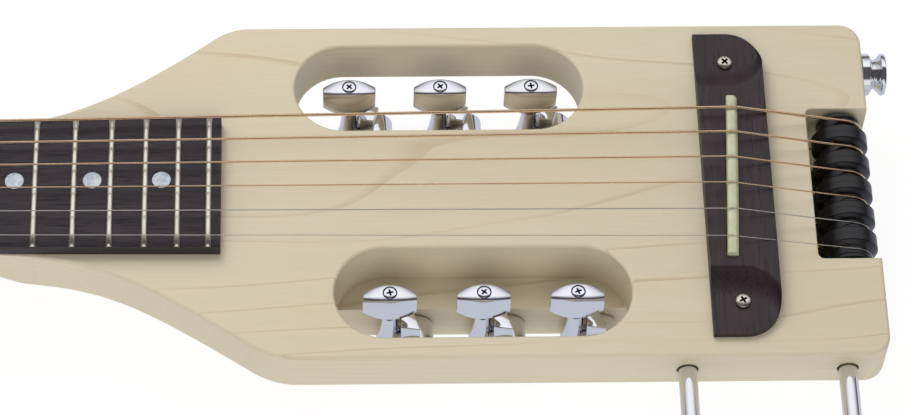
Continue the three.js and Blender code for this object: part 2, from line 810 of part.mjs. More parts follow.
// A pan-head screw pointing down, the underside of its head at the origin
function screw(length) {
  return turned(
    [
      [0, -length],
      [screwRadius * 0.4, -length + screwRadius],
      [screwRadius, -length + 3 * screwRadius],
      [screwRadius, 0],
      [screwHeadRadius, 0],
      [screwHeadRadius * 0.9, screwHeadHeight * 0.6],
      [screwHeadRadius * 0.5, screwHeadHeight],
      [0, screwHeadHeight],
    ],
    8,
  );
}

addPiece("neck_and_body", neckAndBody(), maple);
addPiece("fingerboard", fingerboard(), darkWood);
addPiece("nut", nut(), bone);

const bridgeGroup = new THREE.Group();
bridgeGroup.position.y = bridgeShift;
guitar.add(bridgeGroup);
addPiece("bridge", bridge(), darkWood, bridgeGroup);
addPiece("saddle", saddle(), bone, bridgeGroup);
addPiece("saddle_pickup", pickup(), ceramic, bridgeGroup);
for (const [name, side] of [["bass", 1], ["treble", -1]]) {
  const piece = addPiece("bridge_screw_" + name, screw(screwLength), chrome, bridgeGroup);
  piece.position.set(saddleX + bridgeScrewX, side * bridgeScrewY, frontZ + bridgeEndHeight + seat);
}

// Pulleys on one axle in the tail notch
const pulleys = new THREE.Group();
pulleys.position.set(pulleyAxisX, 0, pulleyAxisZ);
guitar.add(pulleys);
addPiece("pulley_axle", bar("y", axleRadius, -axleLength / 2, axleLength / 2, 14), steel, pulleys);

// One side of a pulley's profile, from its groove to its bore: a full rim, or the low one at an end
function pulleySide(low) {
  const rimRadius = low ? endRimRadius : pulleyRadius;
  const reach = low ? endRimReach : pulleyWidth / 2;
  const bore = axleRadius + seat;
  return [
    [pulleyGrooveRadius, pulleyFloorWidth / 2],
    [rimRadius, low ? reach - pulleyRim / 2 : reach - pulleyRim],
    [rimRadius, reach - pulleyEase],
    [rimRadius - pulleyEase, reach],
    [bore, reach],
  ];
}

function pulley(index) {
  const trebleSide = pulleySide(index === 0).map(([radius, along]) => [radius, -along]);
  const bassSide = pulleySide(index === strings.length - 1);
  const profile = [...trebleSide.reverse(), ...bassSide, trebleSide[0]];
  return turned(profile, 16).rotateX(-Math.PI / 2);
}
strings.forEach((string, index) => {
  const piece = addPiece("pulley_" + (index + 1), pulley(index), blackMetal, pulleys);
  piece.position.y = stringY(index, stringPitchAtTail);
});

// Tuners. The button turns a worm, the worm turns a gear of 14 teeth on the string post.
function tunerButton() {
  const half = buttonLength / 2;
  const section = (x) => {
    const share = Math.abs(x) / half;
    const thick = THREE.MathUtils.lerp(buttonThickness, buttonEndThickness, share * share) / 2;
    const top = -buttonCrown * share * share;
    const low = THREE.MathUtils.lerp(-buttonFoot, -buttonSide, share * share);
    const ease = thick * 0.3;
    return [
      new THREE.Vector3(x, -thick, top - ease),
      new THREE.Vector3(x, -thick + ease, top),
      new THREE.Vector3(x, thick - ease, top),
      new THREE.Vector3(x, thick, top - ease),
      new THREE.Vector3(x, thick, low + ease),
      new THREE.Vector3(x, thick - ease, low),
      new THREE.Vector3(x, -thick + ease, low),
      new THREE.Vector3(x, -thick, low + ease),
    ];
  };
  const shares = [-1, -0.96, -0.7, -0.34, 0, 0.34, 0.7, 0.96, 1];
  const rings = shares.map((share) => section(half * share));
  const endInset = buttonEndThickness / 4;
  for (const ring of [rings[0], rings[rings.length - 1]]) {
    for (const p of ring) p.z += p.z > -buttonSide / 2 ? -endInset : endInset;
  }
  const body = solid(loft(rings));
  const bore = bar("z", shaftRadius + seat, -buttonFoot - overrun, -buttonFoot + buttonBoreDepth, 12);
  return geometryOf(body.subtract(solid(bore)));
}

function wormShaft() {
  const journal = shaftRadius - seat;
  const wormHalf = (wormTurns * wormPitch) / 2 + threadFootWidth / 2;
  const topZ = frontZ - buttonFoot + buttonBoreDepth - seat - wormCentreZ;
  const lowZ = housingFloor + housingWall + seat - wormCentreZ;
  const stem = turned(
    [
      [0, lowZ],
      [wormRootRadius, lowZ],
      [wormRootRadius, wormHalf],
      [shaftRadius, wormHalf],
      [shaftRadius, topZ - journal],
      [journal, topZ],
      [0, topZ],
    ],
    8,
  );
  const rings = [];
  const steps = wormTurns * wormStepsPerTurn;
  const sink = wormRootRadius * 0.75;
  for (let i = 0; i <= steps; i++) {
    const turn = i / wormStepsPerTurn - wormTurns / 2;
    const angle = 2 * Math.PI * turn;
    const fade = THREE.MathUtils.clamp(Math.min(i, steps - i) / 2, 0, 1);
    const tip = THREE.MathUtils.lerp(wormRootRadius * 1.1, wormTipRadius, fade);
    const at = (r, z) =>
      new THREE.Vector3(r * Math.cos(angle), r * Math.sin(angle), turn * wormPitch + z);
    rings.push([
      at(sink, -threadFootWidth / 2),
      at(tip, -threadTipWidth / 2),
      at(tip, threadTipWidth / 2),
      at(sink, threadFootWidth / 2),
    ]);
  }
  return geometryOf(solid(stem).add(solid(loft(rings))));
}

function gearWheel() {
  const pitchAngle = (2 * Math.PI) / gearTeeth;
  const shape = new THREE.Shape();
  const corners = [
    [gearRootRadius, -toothRootShare],
    [gearTipRadius, -toothTipShare],
    [gearTipRadius, toothTipShare],
    [gearRootRadius, toothRootShare],
  ];
  for (let tooth = 0; tooth < gearTeeth; tooth++) {
    for (const [r, share] of corners) {
      const angle = pitchAngle * (tooth + 0.5 + share);
      const place = [r * Math.cos(angle), r * Math.sin(angle)];
      if (tooth === 0 && share === -toothRootShare) shape.moveTo(...place);
      else shape.lineTo(...place);
    }
  }
  const wheel = new THREE.ExtrudeGeometry(shape, { depth: gearWidth, bevelEnabled: false, steps: 1 });
  wheel.translate(0, 0, -gearWidth / 2).rotateX(Math.PI / 2);
  const lead = wormPitch / (2 * Math.PI * wormPitchRadius);
  const place = wheel.attributes.position;
  const axis = new THREE.Vector3(0, 1, 0);
  for (let i = 0; i < place.count; i++) {
    const p = new THREE.Vector3().fromBufferAttribute(place, i);
    p.applyAxisAngle(axis, (lead * p.y) / gearRadius);
    place.setXYZ(i, p.x, p.y, p.z);
  }
  return wheel;
}

function tunerPost(side) {
  const reach = span((side * gearWidth) / 2, side * (postTipY - slotCentreY));
  return geometryOf(solid(gearWheel()).add(solid(bar("y", postRadius, ...reach, 12))));
}

// Housing in the frame of its shaft: Z along the shaft, the gear towards +X, the spine towards -side
function tunerHousing(side) {
  const half = housingWidth / 2;
  const floor = housingFloor - wormCentreZ;
  const tubeTop = wormTubeTop - wormCentreZ;
  const collarEnd = collarTop - wormCentreZ;
  const faceY = halfSpine + seat - slotCentreY;
  const bushEnd = channelHalfWidth - bushNutThickness - 3 * seat - slotCentreY;
  const caseEnds = span(side * faceY, side * half);
  const bushEnds = span(side * bushEnd, side * half);
  const drum = bar("y", drumRadius, ...caseEnds, 18).translate(wormToGear, 0, 0);
  const tower = turned(
    [
      [0, floor],
      [wormTubeRadius, floor],
      [wormTubeRadius, tubeTop],
      [collarRadius, tubeTop + collarFlare],
      [collarTipRadius, collarEnd],
      [0, collarEnd],
    ],
    12,
  );
  const shoulder = block(0, wormToGear, ...caseEnds, -wormTubeRadius, tubeTop - housingWall);
  const mountEnds = span(side * faceY, 0);
  const mount = block(-wormTubeRadius, 0, ...mountEnds, floor + housingWall, tubeTop - housingWall);
  const bush = bar("y", bushRadius, ...bushEnds, 12).translate(wormToGear, 0, 0);
  let shape = solid(drum);
  for (const part of [tower, shoulder, mount, bush]) shape = shape.add(solid(part));
  const cavity = gearWidth / 2 + 2 * seat;
  const bore = postRadius + seat;
  const lowest = housingFloor + housingWall - wormCentreZ;
  const wormHalf = (wormTurns * wormPitch) / 2 + threadFootWidth;
  const boreEnds = span(0, side * (bushEnd - overrun));
  const cuts = [
    bar("y", gearTipRadius + seat * 1.5, -cavity, cavity, 14).translate(wormToGear, 0, 0),
    bar("z", wormTipRadius + seat, lowest, wormHalf, 10),
    bar("z", shaftRadius + seat, wormHalf - overrun, collarEnd + overrun, 10),
    bar("y", bore, ...boreEnds, 10).translate(wormToGear, 0, 0),
  ];
  for (const cut of cuts) shape = shape.subtract(solid(cut));
  return geometryOf(shape);
}

function bushNut(side) {
  const outer = -side * (slotCentreY - channelHalfWidth + seat);
  const inner = outer - side * bushNutThickness;
  const [y0, y1] = span(outer, inner);
  const hex = bar("y", bushNutRadius, y0, y1, 6);
  const hole = bar("y", bushRadius + seat, y0 - overrun, y1 + overrun, 12);
  return geometryOf(solid(hex).subtract(solid(hole)));
}

const button = tunerButton();
const worm = wormShaft();
for (const { number, side, x } of tuners) {
  const group = new THREE.Group();
  group.position.set(x, side * slotCentreY, wormCentreZ);
  guitar.add(group);
  addPiece("tuner_housing_" + number, tunerHousing(side), chrome, group);
  addPiece("tuner_worm_shaft_" + number, worm, chrome, group);
  addPiece("tuner_button_" + number, button, chrome, group).position.z = frontZ - wormCentreZ;
  addPiece("tuner_post_" + number, tunerPost(side), chrome, group).position.x = wormToGear;
  addPiece("tuner_nut_" + number, bushNut(side), chrome, group).position.x = wormToGear;
}

// Strings: ball end, nut, saddle, round the pulley and back to the post, where each is wound
const turnedTo = (v, angle) => v.clone().rotateAround(new THREE.Vector2(), angle);
const combZ = headZ + ballHeight;
const combWallX = headEndX + seat + combPlateLength - combWallThickness;

function stringRoute(tuner) {
  const index = tuner.number - 1;
  const { diameter } = tuner.string;
  const nutY = stringY(index, stringPitchAtNut);
  const tailY = stringY(index, stringPitchAtTail);
  const wrap = pulleyGrooveRadius + seat + diameter / 2;
  const coil = postRadius + windingClearance + diameter / 2;
  const pulleyAt = new THREE.Vector2(pulleyAxisX, pulleyAxisZ);
  const postAt = new THREE.Vector2(postX(tuner), wormCentreZ);
  const crest = new THREE.Vector2(crestX(index), saddleStringZ(index));

  // Where the string meets the top of the pulley
  const toPulley = pulleyAt.clone().sub(crest);
  const entryRun = turnedTo(toPulley.clone().normalize(), Math.asin(wrap / toPulley.length()));
  const entryAngle = turnedTo(entryRun, Math.PI / 2).angle();

  // Where it leaves the bottom of the pulley and meets the top of the post
  const toPost = postAt.clone().sub(pulleyAt);
  const lean = Math.asin((wrap + coil) / toPost.length());
  const exitRun = turnedTo(toPost.normalize(), -lean);
  const exitAngle = turnedTo(exitRun, Math.PI / 2).angle() - 2 * Math.PI;
  const postAngle = turnedTo(exitRun, -Math.PI / 2).angle();

  const ballX = combWallX - seat - ballLength / 2;
  const points = [
    new THREE.Vector3(ballX, nutY, combZ),
    new THREE.Vector3(nutX - nutThickness - seat, nutY, nutStringZ(index)),
    new THREE.Vector3(crest.x, tailY, crest.y),
  ];
  const wrapSteps = 8;
  for (let i = 0; i <= wrapSteps; i++) {
    const angle = THREE.MathUtils.lerp(entryAngle, exitAngle, i / wrapSteps);
    points.push(
      new THREE.Vector3(pulleyAt.x + wrap * Math.cos(angle), tailY, pulleyAt.y + wrap * Math.sin(angle)),
    );
  }
  const steps = Math.round(windingTurns * windingStepsPerTurn);
  const coilPitch = diameter + windingGap;
  const winding = [];
  for (let i = 0; i <= steps; i++) {
    const turn = i / windingStepsPerTurn;
    const angle = postAngle + 2 * Math.PI * turn;
    const y = tuner.side * (windingStartY + diameter / 2 + coilPitch * turn);
    winding.push(
      new THREE.Vector3(postAt.x + coil * Math.cos(angle), y, postAt.y + coil * Math.sin(angle)),
    );
  }
  return { points: [...points, ...winding], winding, ballX };
}

function leastSelfGap(winding, diameter) {
  let least = Infinity;
  for (let i = 0; i < winding.length; i++) {
    for (let j = i + windingStepsPerTurn / 2; j < winding.length; j++) {
      least = Math.min(least, winding[i].distanceTo(winding[j]) - diameter);
    }
  }
  return least;
}

const acrossStrings = new THREE.Vector3(0, 1, 0);
let selfGap = Infinity;
for (const tuner of tuners) {
  const { name, diameter } = tuner.string;
  const { points, winding, ballX } = stringRoute(tuner);
  selfGap = Math.min(selfGap, leastSelfGap(winding, diameter));
  const ball = bar("x", ballRadius, ballX - ballLength / 2, ballX + ballLength / 2, 8);
  ball.translate(0, points[0].y, combZ);
  const shape = solid(tube(points, diameter / 2, stringSides, acrossStrings)).add(solid(ball));
  addPiece(name, shape, tuner.number > 2 ? bronze : steel);
}
console.log("least gap between neighbouring turns of a string: " + selfGap.toFixed(2) + " mm");

// Jack in the tail, with the collar and flange that hold a strap
const jackProfile = [
  [jackBoreRadius, -jackBarrelLength],
  [jackBarrelRadius, -jackBarrelLength],
  [jackBarrelRadius, seat],
  [jackFootRadius, seat],
  [jackFootRadius, seat + jackFootThickness],
  [jackWaistRadius, seat + jackFootThickness * 1.15],
  [jackWaistRadius, jackProjection - jackFlangeThickness * 1.8],
  [jackFlangeRadius, jackProjection - jackFlangeThickness],
  [jackFlangeRadius, jackProjection - jackFlangeThickness * 0.3],
  [jackFlangeRadius * 0.9, jackProjection],
  [jackBoreRadius, jackProjection],
  [jackBoreRadius, -jackBarrelLength],
];
const jack = addPiece("end_pin_jack", turned(jackProfile, 16).rotateY(Math.PI / 2), chrome);
jack.position.set(tailX, jackY, frontZ - jackBelowFront);

// Lap rest: a bent rod whose two legs push into the treble side
function lapRest() {
  const inner = -halfBody + restInsertion;
  const outer = -halfBody - restReach;
  const z = frontZ - restBelowFront;
  const [head, tail] = [saddleX + restLegHeadX, saddleX + restLegTailX];
  const points = [new THREE.Vector3(head, inner, z)];
  const bend = (x, from) => {
    for (let i = 0; i <= restRingsPerBend; i++) {
      const angle = from + (Math.PI / 2) * (i / restRingsPerBend);
      const y = outer + restBend + restBend * Math.sin(angle);
      points.push(new THREE.Vector3(x + restBend * Math.cos(angle), y, z));
    }
  };
  bend(head + restBend, Math.PI);
  bend(tail - restBend, (3 * Math.PI) / 2);
  points.push(new THREE.Vector3(tail, inner, z));
  return tube(points, restRodRadius, 10, new THREE.Vector3(0, 0, 1));
}
addPiece("lap_rest", lapRest(), chrome);

// Head: the comb that the ball ends pull against, its screws, and the truss rod in the neck
function stringComb() {
  const x0 = headEndX + seat;
  const x1 = x0 + combPlateLength;
  const half = combWidth / 2;
  const plateTop = headZ + combPlateThickness;
  const wallX = x1 - combWallThickness;
  const wallTop = headZ + combWallHeight;
  const wallHalf = half - combWallThickness;
  const outline = roundedRectangle(x0, x1, -half, half, combWallThickness);
  const base = solid(plate(outline, headZ, plateTop, 3));
  let comb = base.add(solid(block(wallX, x1 - seat, -wallHalf, wallHalf, headZ, wallTop)));
  strings.forEach((string, index) => {
    const y = stringY(index, stringPitchAtNut);
    const gap = string.diameter / 2 + seat;
    const cut = block(wallX - overrun, x1 + overrun, y - gap, y + gap, combZ - gap, wallTop + overrun);
    comb = comb.subtract(solid(cut));
  });
  for (const side of [1, -1]) {
    const hole = screwHole(plateTop, combPlateThickness + overrun);
    comb = comb.subtract(solid(hole.translate(x0 + combScrewX, side * combScrewY, 0)));
  }
  return comb;
}
addPiece("string_comb", stringComb(), blackMetal);
for (const [name, side] of [["bass", 1], ["treble", -1]]) {
  const piece = addPiece("comb_screw_" + name, screw(shortScrewLength), chrome);
  piece.position.set(headEndX + seat + combScrewX, side * combScrewY, headZ + combPlateThickness + seat);
}

function trussRod() {
  const nutEnd = headEndX + rodStart;
  const rod = solid(bar("x", rodRadius, nutEnd, rodEndX - seat, 10));
  const head = solid(bar("x", rodNutRadius, nutEnd, nutEnd + rodNutLength, 14));
  const socket = solid(bar("x", rodSocketRadius, nutEnd - overrun, nutEnd + rodSocketDepth, 6));
  const rodAxisZ = frontZ - rodDepth;
  return geometryOf(rod.add(head).subtract(socket)).translate(0, 0, rodAxisZ);
}
addPiece("truss_rod", trussRod(), steel);

export default guitar;
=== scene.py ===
# %% [markdown]
# # A travel guitar, dressed around its frame
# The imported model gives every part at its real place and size, but its solids are faceted and plain. This
# lesson keeps that frame fixed and makes the surface that the eye meets: satin maple, a dark fingerboard,
# polished chrome, satin black pulleys and wound strings. Each new piece rides on the body of the node that it
# stands for, so it still moves when a tuner key is turned.

# %% Load the frame
import json
import math
import bmesh
import bpy
from mathutils import Matrix, Vector

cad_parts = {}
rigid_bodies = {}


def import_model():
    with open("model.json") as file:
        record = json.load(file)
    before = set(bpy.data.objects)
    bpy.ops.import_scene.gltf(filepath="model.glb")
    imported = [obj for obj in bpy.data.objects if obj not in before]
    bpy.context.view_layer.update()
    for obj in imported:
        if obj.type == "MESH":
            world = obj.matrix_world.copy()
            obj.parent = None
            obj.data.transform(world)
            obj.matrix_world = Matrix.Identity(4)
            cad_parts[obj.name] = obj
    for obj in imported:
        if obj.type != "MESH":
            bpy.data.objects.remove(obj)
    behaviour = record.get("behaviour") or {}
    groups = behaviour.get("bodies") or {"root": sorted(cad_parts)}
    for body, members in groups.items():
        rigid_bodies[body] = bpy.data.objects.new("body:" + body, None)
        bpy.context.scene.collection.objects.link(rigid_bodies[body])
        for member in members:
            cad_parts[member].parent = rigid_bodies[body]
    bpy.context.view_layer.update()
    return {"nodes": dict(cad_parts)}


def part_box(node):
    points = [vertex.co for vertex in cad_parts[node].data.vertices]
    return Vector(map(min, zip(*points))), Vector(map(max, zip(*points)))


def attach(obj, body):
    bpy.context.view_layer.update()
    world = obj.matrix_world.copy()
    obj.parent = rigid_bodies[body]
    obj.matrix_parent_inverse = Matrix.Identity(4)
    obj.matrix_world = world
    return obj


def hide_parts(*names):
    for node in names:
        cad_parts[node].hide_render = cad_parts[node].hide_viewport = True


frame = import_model()
mm = 0.001

# %% [markdown]
# ## The camera
# A photograph's lens and place can be worked out from things of known size in it, here the frets. The lens
# has a long focal length, so the perspective is mild. It looks down on the front from the treble side, and a
# small shift moves the picture without turning the camera.

# %% The camera
photo_width, photo_height = 923, 415
sensor_mm = 36
focal_px = 3381
axis_px = (396, 226.65)
tilt, yaw, roll = (math.radians(angle) for angle in (30.42, 1.16, 0.45))
orbit_centre = Vector((44.3, -15.5, 41)) * mm
orbit_radius = 1151 * mm


def new_object(name, data):
    """Puts a mesh, a curve, a lens or a lamp into the scene as an object."""
    obj = bpy.data.objects.new(name, data)
    bpy.context.scene.collection.objects.link(obj)
    return obj


facing = Matrix.Rotation(tilt, 3, "X") @ Matrix.Rotation(-yaw, 3, "Y") @ Matrix.Rotation(-roll, 3, "Z")
lens = bpy.data.cameras.new("lens")
lens.sensor_width = sensor_mm
lens.lens = focal_px / photo_width * sensor_mm
lens.shift_x = 0.5 - axis_px[0] / photo_width
lens.shift_y = (axis_px[1] - photo_height / 2) / photo_width
camera = new_object("camera", lens)
camera_place = orbit_centre + facing @ Vector((0, 0, orbit_radius))
camera.matrix_world = Matrix.Translation(camera_place) @ facing.to_4x4()
bpy.context.scene.camera = camera
bpy.context.scene.view_settings.view_transform = "Standard"
print("lens:", round(lens.lens, 1), "mm")

# %% [markdown]
# ## Where the main parts are
# Places come from the frame, so they can't drift from it: the front's height, the tail, the scale's two ends.
# A few sizes that a box can't tell, such as the corner radii, are named here.

# %% Places from the frame
wood_low, wood_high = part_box("neck_and_body")
head_x, tail_x = wood_low.x, wood_high.x
half_body, front_z = wood_high.y, wood_high.z
nut_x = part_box("nut")[1].x
scale_length = 628.65 * mm
scale_x = nut_x + scale_length
board_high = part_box("fingerboard")[1]
nut_half = 21.5 * mm
gap = 0.3 * mm  # the frame's clearance between parts that touch
overrun = 1 * mm  # how far a cutting shape runs past a face
numbers = range(1, 7)  # the strings, from the highest to the lowest
key_side = {n: -1 if n < 4 else 1 for n in numbers}
ALONG, ACROSS, UP = (1, 0, 0), (0, 1, 0), (0, 0, 1)
print("scale ends at", round(scale_x / mm, 1), "mm, tail at", round(tail_x / mm, 1), "mm")

# %% [markdown]
# ## Colours and nodes
# A colour is written as the hex value that an eyedropper shows, and a shader wants it linear, so one function
# converts it. The others add a node with its settings and its links, which keeps each material short to read.

# %% Colour and node helpers
def linear(code):
    """An sRGB hex colour as the linear colour that a shader takes."""
    parts = [int(code[i:i + 2], 16) / 255 for i in (1, 3, 5)]
    return tuple(((c + 0.055) / 1.055) ** 2.4 if c > 0.04045 else c / 12.92 for c in parts) + (1,)


def fill(node, inputs):
    """Gives a node's inputs, by name or number, a value, or a link from another node or its socket."""
    for name, value in inputs.items():
        source = getattr(value, "outputs", [value])[0]
        if isinstance(source, bpy.types.NodeSocket):
            node.id_data.links.new(source, node.inputs[name])
        else:
            node.inputs[name].default_value = value
    return node


def add(tree, kind, inputs=None, settings=None):
    """Adds a shader node with its inputs filled."""
    node = tree.nodes.new("ShaderNode" + kind)
    for name, value in (settings or {}).items():
        setattr(node, name, value)
    return fill(node, inputs or {})


def maths(tree, operation, *values, kind="Math"):
    return add(tree, kind, dict(enumerate(values)), {"operation": operation})


def vectors(tree, operation, *values):
    return maths(tree, operation, *values, kind="VectorMath")


def ranged(tree, value, low, high, to_low=0, to_high=1, curve="LINEAR"):
    """Turns the range from low to high into another, and holds what lies outside at its ends."""
    limits = {"Value": value, "From Min": low, "From Max": high, "To Min": to_low, "To Max": to_high}
    return add(tree, "MapRange", limits, {"interpolation_type": curve})


def blended(tree, share, first, second):
    """Mixes two colours. The Mix node's colour sockets go by number, because their names repeat."""
    first, second = (linear(colour) if isinstance(colour, str) else colour for colour in (first, second))
    return add(tree, "Mix", {0: share, 6: first, 7: second}, {"data_type": "RGBA"}).outputs[2]


def noise(tree, place, patch, detail, distortion=0):
    grain = {"Vector": place, "Scale": 1 / patch, "Detail": detail, "Distortion": distortion}
    return add(tree, "TexNoise", grain)


def stretched(tree, place, length, width, detail=2):
    """Noise drawn out like wood fibres: length and width are the size of a fibre on each axis, in metres."""
    drawn = add(tree, "Mapping", {"Vector": place, "Scale": (1 / length, 1 / width, 1 / width)})
    return noise(tree, drawn, 1, detail)


def bump(tree, height, strength, depth, invert=False):
    return add(tree, "Bump", {"Height": height, "Strength": strength, "Distance": depth}, {"invert": invert})


def blank_material(name, inputs):
    """A material whose Principled shader has these values, with its node tree, shader and coordinates."""
    material = bpy.data.materials.new(name)
    material.use_nodes = True
    tree = material.node_tree
    shader = fill(tree.nodes["Principled BSDF"], inputs)
    return material, tree, shader, add(tree, "TexCoord").outputs["Object"]

# %% [markdown]
# ## Maple with a satin finish
# Maple is pale and close-grained. Its growth rings are cylinders round the middle of the tree, so a flat-sawn
# face cuts them at a grazing angle and shows thin brown lines, far apart and slightly wavy. Painting that in
# three dimensions, as the distance from a far axis, makes the lines run on round every edge and into the
# slots, as they do in a real blank. Fine fibres along the neck break up the flat colour.

# %% Maple
ring_spacing = 3.1 * mm
pith_place = Vector((0, 22, -190)) * mm  # the middle of the tree, under the board
pith_lean = math.radians(1.3)


def maple():
    coat = {"Roughness": 0.48, "Coat Weight": 0.12, "Coat Roughness": 0.35}
    material, tree, shader, place = blank_material("satin_maple", coat)
    sway = stretched(tree, place, 150 * mm, 38 * mm, 1).outputs["Color"]
    sway = vectors(tree, "SUBTRACT", sway, (0.5, 0.5, 0.5))
    sway = vectors(tree, "MULTIPLY", sway, (0, 10 * mm, 7 * mm))
    trunk = {"Vector": place, "Location": pith_place, "Rotation": (0, pith_lean, 0)}
    trunk = add(tree, "Mapping", trunk, {"vector_type": "TEXTURE"})
    across = vectors(tree, "ADD", vectors(tree, "MULTIPLY", trunk, (0, 1, 1)), sway)
    rings = maths(tree, "DIVIDE", vectors(tree, "LENGTH", across).outputs["Value"], ring_spacing)
    line = ranged(tree, maths(tree, "FRACT", rings), 0.9, 0.99, curve="SMOOTHSTEP")
    strength = ranged(tree, stretched(tree, place, 70 * mm, 22 * mm), 0.36, 0.66, 0.1, 0.46)
    fibres = stretched(tree, place, 16 * mm, 0.55 * mm, 3)
    tint = blended(tree, stretched(tree, place, 110 * mm, 30 * mm, 1), "#ddd2ba", "#d5c8ac")
    tint = blended(tree, ranged(tree, fibres, 0.3, 0.7, 0, 0.3), tint, "#ccbd9b")
    tint = blended(tree, maths(tree, "MULTIPLY", line, strength), tint, "#b0956a")
    fill(shader, {"Base Color": tint, "Normal": bump(tree, fibres, 0.12, 0.05 * mm)})
    return material


satin_maple = maple()
print("growth rings", round(ring_spacing / mm, 1), "mm apart")

# %% [markdown]
# ## Dark fingerboard wood
# The board and the bridge are cut from a dense, oily, nearly black wood. What the eye gets is a purple brown
# with short open pores that run with the grain. The grain runs along the neck on the board and across the body
# on the bridge, so the same function takes its direction.

# %% Dark woods
def dark_wood(name, turned_by, light, mid, pore, roughness):
    material, tree, shader, place = blank_material(name, {"Roughness": roughness})
    along = add(tree, "Mapping", {"Vector": place, "Rotation": (0, 0, turned_by)})
    pale = ranged(tree, stretched(tree, along, 45 * mm, 3.2 * mm, 3), 0.3, 0.7)
    pores = ranged(tree, stretched(tree, along, 9 * mm, 0.42 * mm, 3), 0.54, 0.66)
    tint = blended(tree, pores, blended(tree, pale, mid, light), pore)
    fill(shader, {"Base Color": tint, "Normal": bump(tree, pores, 0.35, 0.08 * mm, True)})
    return material


board_wood = dark_wood("oiled_dark_board", 0, "#322a2f", "#241e22", "#0e0b0d", 0.5)
bridge_wood = dark_wood("oiled_dark_bridge", math.radians(90), "#35272a", "#271d20", "#130d0f", 0.46)
print("woods:", board_wood.name, bridge_wood.name)

# %% [markdown]
# ## Metals
# A metal has no colour of its own beneath its reflection, so its colour goes straight into Base Color with
# Metallic at 1. Chrome plate is the smoothest: its roughness only varies where fingers have touched it. Fret
# wire is a nickel alloy, drawn and then polished along the fret. Wound strings have a thread of bronze round a
# steel core, and only its ridges tell that at a step away.

# %% Metals
wave_turn = 2 * math.pi / 20  # the Wave node's own scale: 20 radians to a unit


def metal(name, code, low_roughness, high_roughness, patch, pitch=0):
    """A metal whose roughness wanders between two values, in patches of the given size. With a pitch, it is a
    thread wound on a core: ridges across the string, a pitch apart."""
    material, tree, shader, place = blank_material(name, {"Base Color": linear(code), "Metallic": 1})
    wander = ranged(tree, noise(tree, place, patch, 3), 0.35, 0.65, low_roughness, high_roughness)
    fill(shader, {"Roughness": wander})
    if pitch:
        ridges = add(tree, "TexWave", {"Vector": place, "Scale": wave_turn / pitch}, {"bands_direction": "X"})
        fill(shader, {"Normal": bump(tree, ridges, 0.4, 0.08 * mm)})
    return material


chrome = metal("chrome_plate", "#e2e3e6", 0.05, 0.1, 9 * mm)
screw_nickel = metal("nickel_plated_screw", "#d8d4c6", 0.25, 0.35, 3 * mm)
# Painted shade: a dark metal for the walls of screw recesses and of the buttons' screw seats, where little
# light gets in
painted_recess_shade = metal("recess_painted_shade_steel", "#2c2b29", 0.5, 0.6, 2 * mm)
nickel = metal("polished_fret_nickel", "#e6e2d1", 0.25, 0.35, 4 * mm)
plain_steel = metal("drawn_plain_steel", "#d6d2c6", 0.4, 0.5, 5 * mm)
bronze = metal("bronze_winding", "#efcca2", 0.2, 0.3, 6 * mm, 0.5 * mm)
rod_steel = metal("bright_rod_steel", "#a8a8a6", 0.28, 0.42, 6 * mm)
braid = metal("copper_braid", "#8c6b45", 0.4, 0.55, 2 * mm)
print("materials so far:", len(bpy.data.materials))

# %% [markdown]
# ## Black satin pulleys, pale saddle and pearl dots
# The pulleys are turned aluminium, blasted and anodised black: dull, with a faint grey sheen and turning marks
# too fine to see. The saddle is a cast synthetic bone, slightly green beside the maple. The dots are thin
# pearl, whose cloudy layers turn blue and pink.

# %% Black, bone and pearl
def satin_black():
    material, tree, shader, place = blank_material("black_anodised_satin", {"Roughness": 0.3})
    grit = noise(tree, place, 1.5 * mm, 2)
    tint = blended(tree, grit, "#060607", "#0e0e10")
    fill(shader, {"Base Color": tint, "Normal": bump(tree, grit, 0.08, 0.03 * mm)})
    return material


def cloudy(name, first, second, patch, roughness):
    """A smooth material whose colour drifts between two tints, in patches of the given size."""
    material, tree, shader, place = blank_material(name, {"Roughness": roughness})
    share = ranged(tree, noise(tree, place, patch, 3, 0.8), 0.35, 0.65)
    fill(shader, {"Base Color": blended(tree, share, first, second)})
    return material


black_satin = satin_black()
bone = cloudy("synthetic_bone", "#cccfae", "#bfc29f", 5 * mm, 0.38)
pearl = cloudy("pearl_inlay", "#ced5dc", "#a9b5c1", 2.2 * mm, 0.2)
print("materials:", len(bpy.data.materials))

# %% [markdown]
# ## Small sums
# Most curves on this guitar are even steps along a line or round a quarter circle. A few short functions take
# those steps, so each piece only has to say how many it needs.

# %% Small sums
def mixed(a, b, t):
    return a + (b - a) * t


def clamped(t):
    return min(max(t, 0), 1)


def smooth_step(t):
    return clamped(t) ** 2 * (3 - 2 * clamped(t))


def span(a, b):
    return min(a, b), max(a, b)


def shares(steps, first=0):
    """Even shares of a whole, up to 1."""
    return [i / steps for i in range(first, steps + 1)]


def quarter(steps, start=0, first=0):
    """The cosine and sine at even steps through a quarter turn. Its start is counted in quarter turns."""
    angles = [math.pi / 2 * (start + share) for share in shares(steps, first)]
    return [(math.cos(angle), math.sin(angle)) for angle in angles]


print("a quarter turn in three steps:", [(round(c, 2), round(s, 2)) for c, s in quarter(3)])

# %% [markdown]
# ## Tools for making shapes
# A turned part is a profile spun about its axis. A shape that changes along its length is a row of rings, each
# extruded from the last. A plate is a face pushed up. Sharp edges catch no light, so a small bevel eases them.

# %% Shape helpers
def new_verts(geometry):
    return [item for item in geometry["geom"] if isinstance(item, bmesh.types.BMVert)]


def ease(bm, width, segments=2, over=30, above=-math.inf):
    """Bevels every edge whose faces meet at more than this many degrees, above a height if one is given."""
    sharp = [e for e in bm.edges if len(e.link_faces) == 2 and e.calc_face_angle() > math.radians(over)
             and min(v.co.z for v in e.verts) > above]
    bmesh.ops.bevel(bm, geom=sharp, offset=width, offset_type="OFFSET", affect="EDGES",
                    segments=segments, profile=0.5, clamp_overlap=True, material=-1)
    return bm


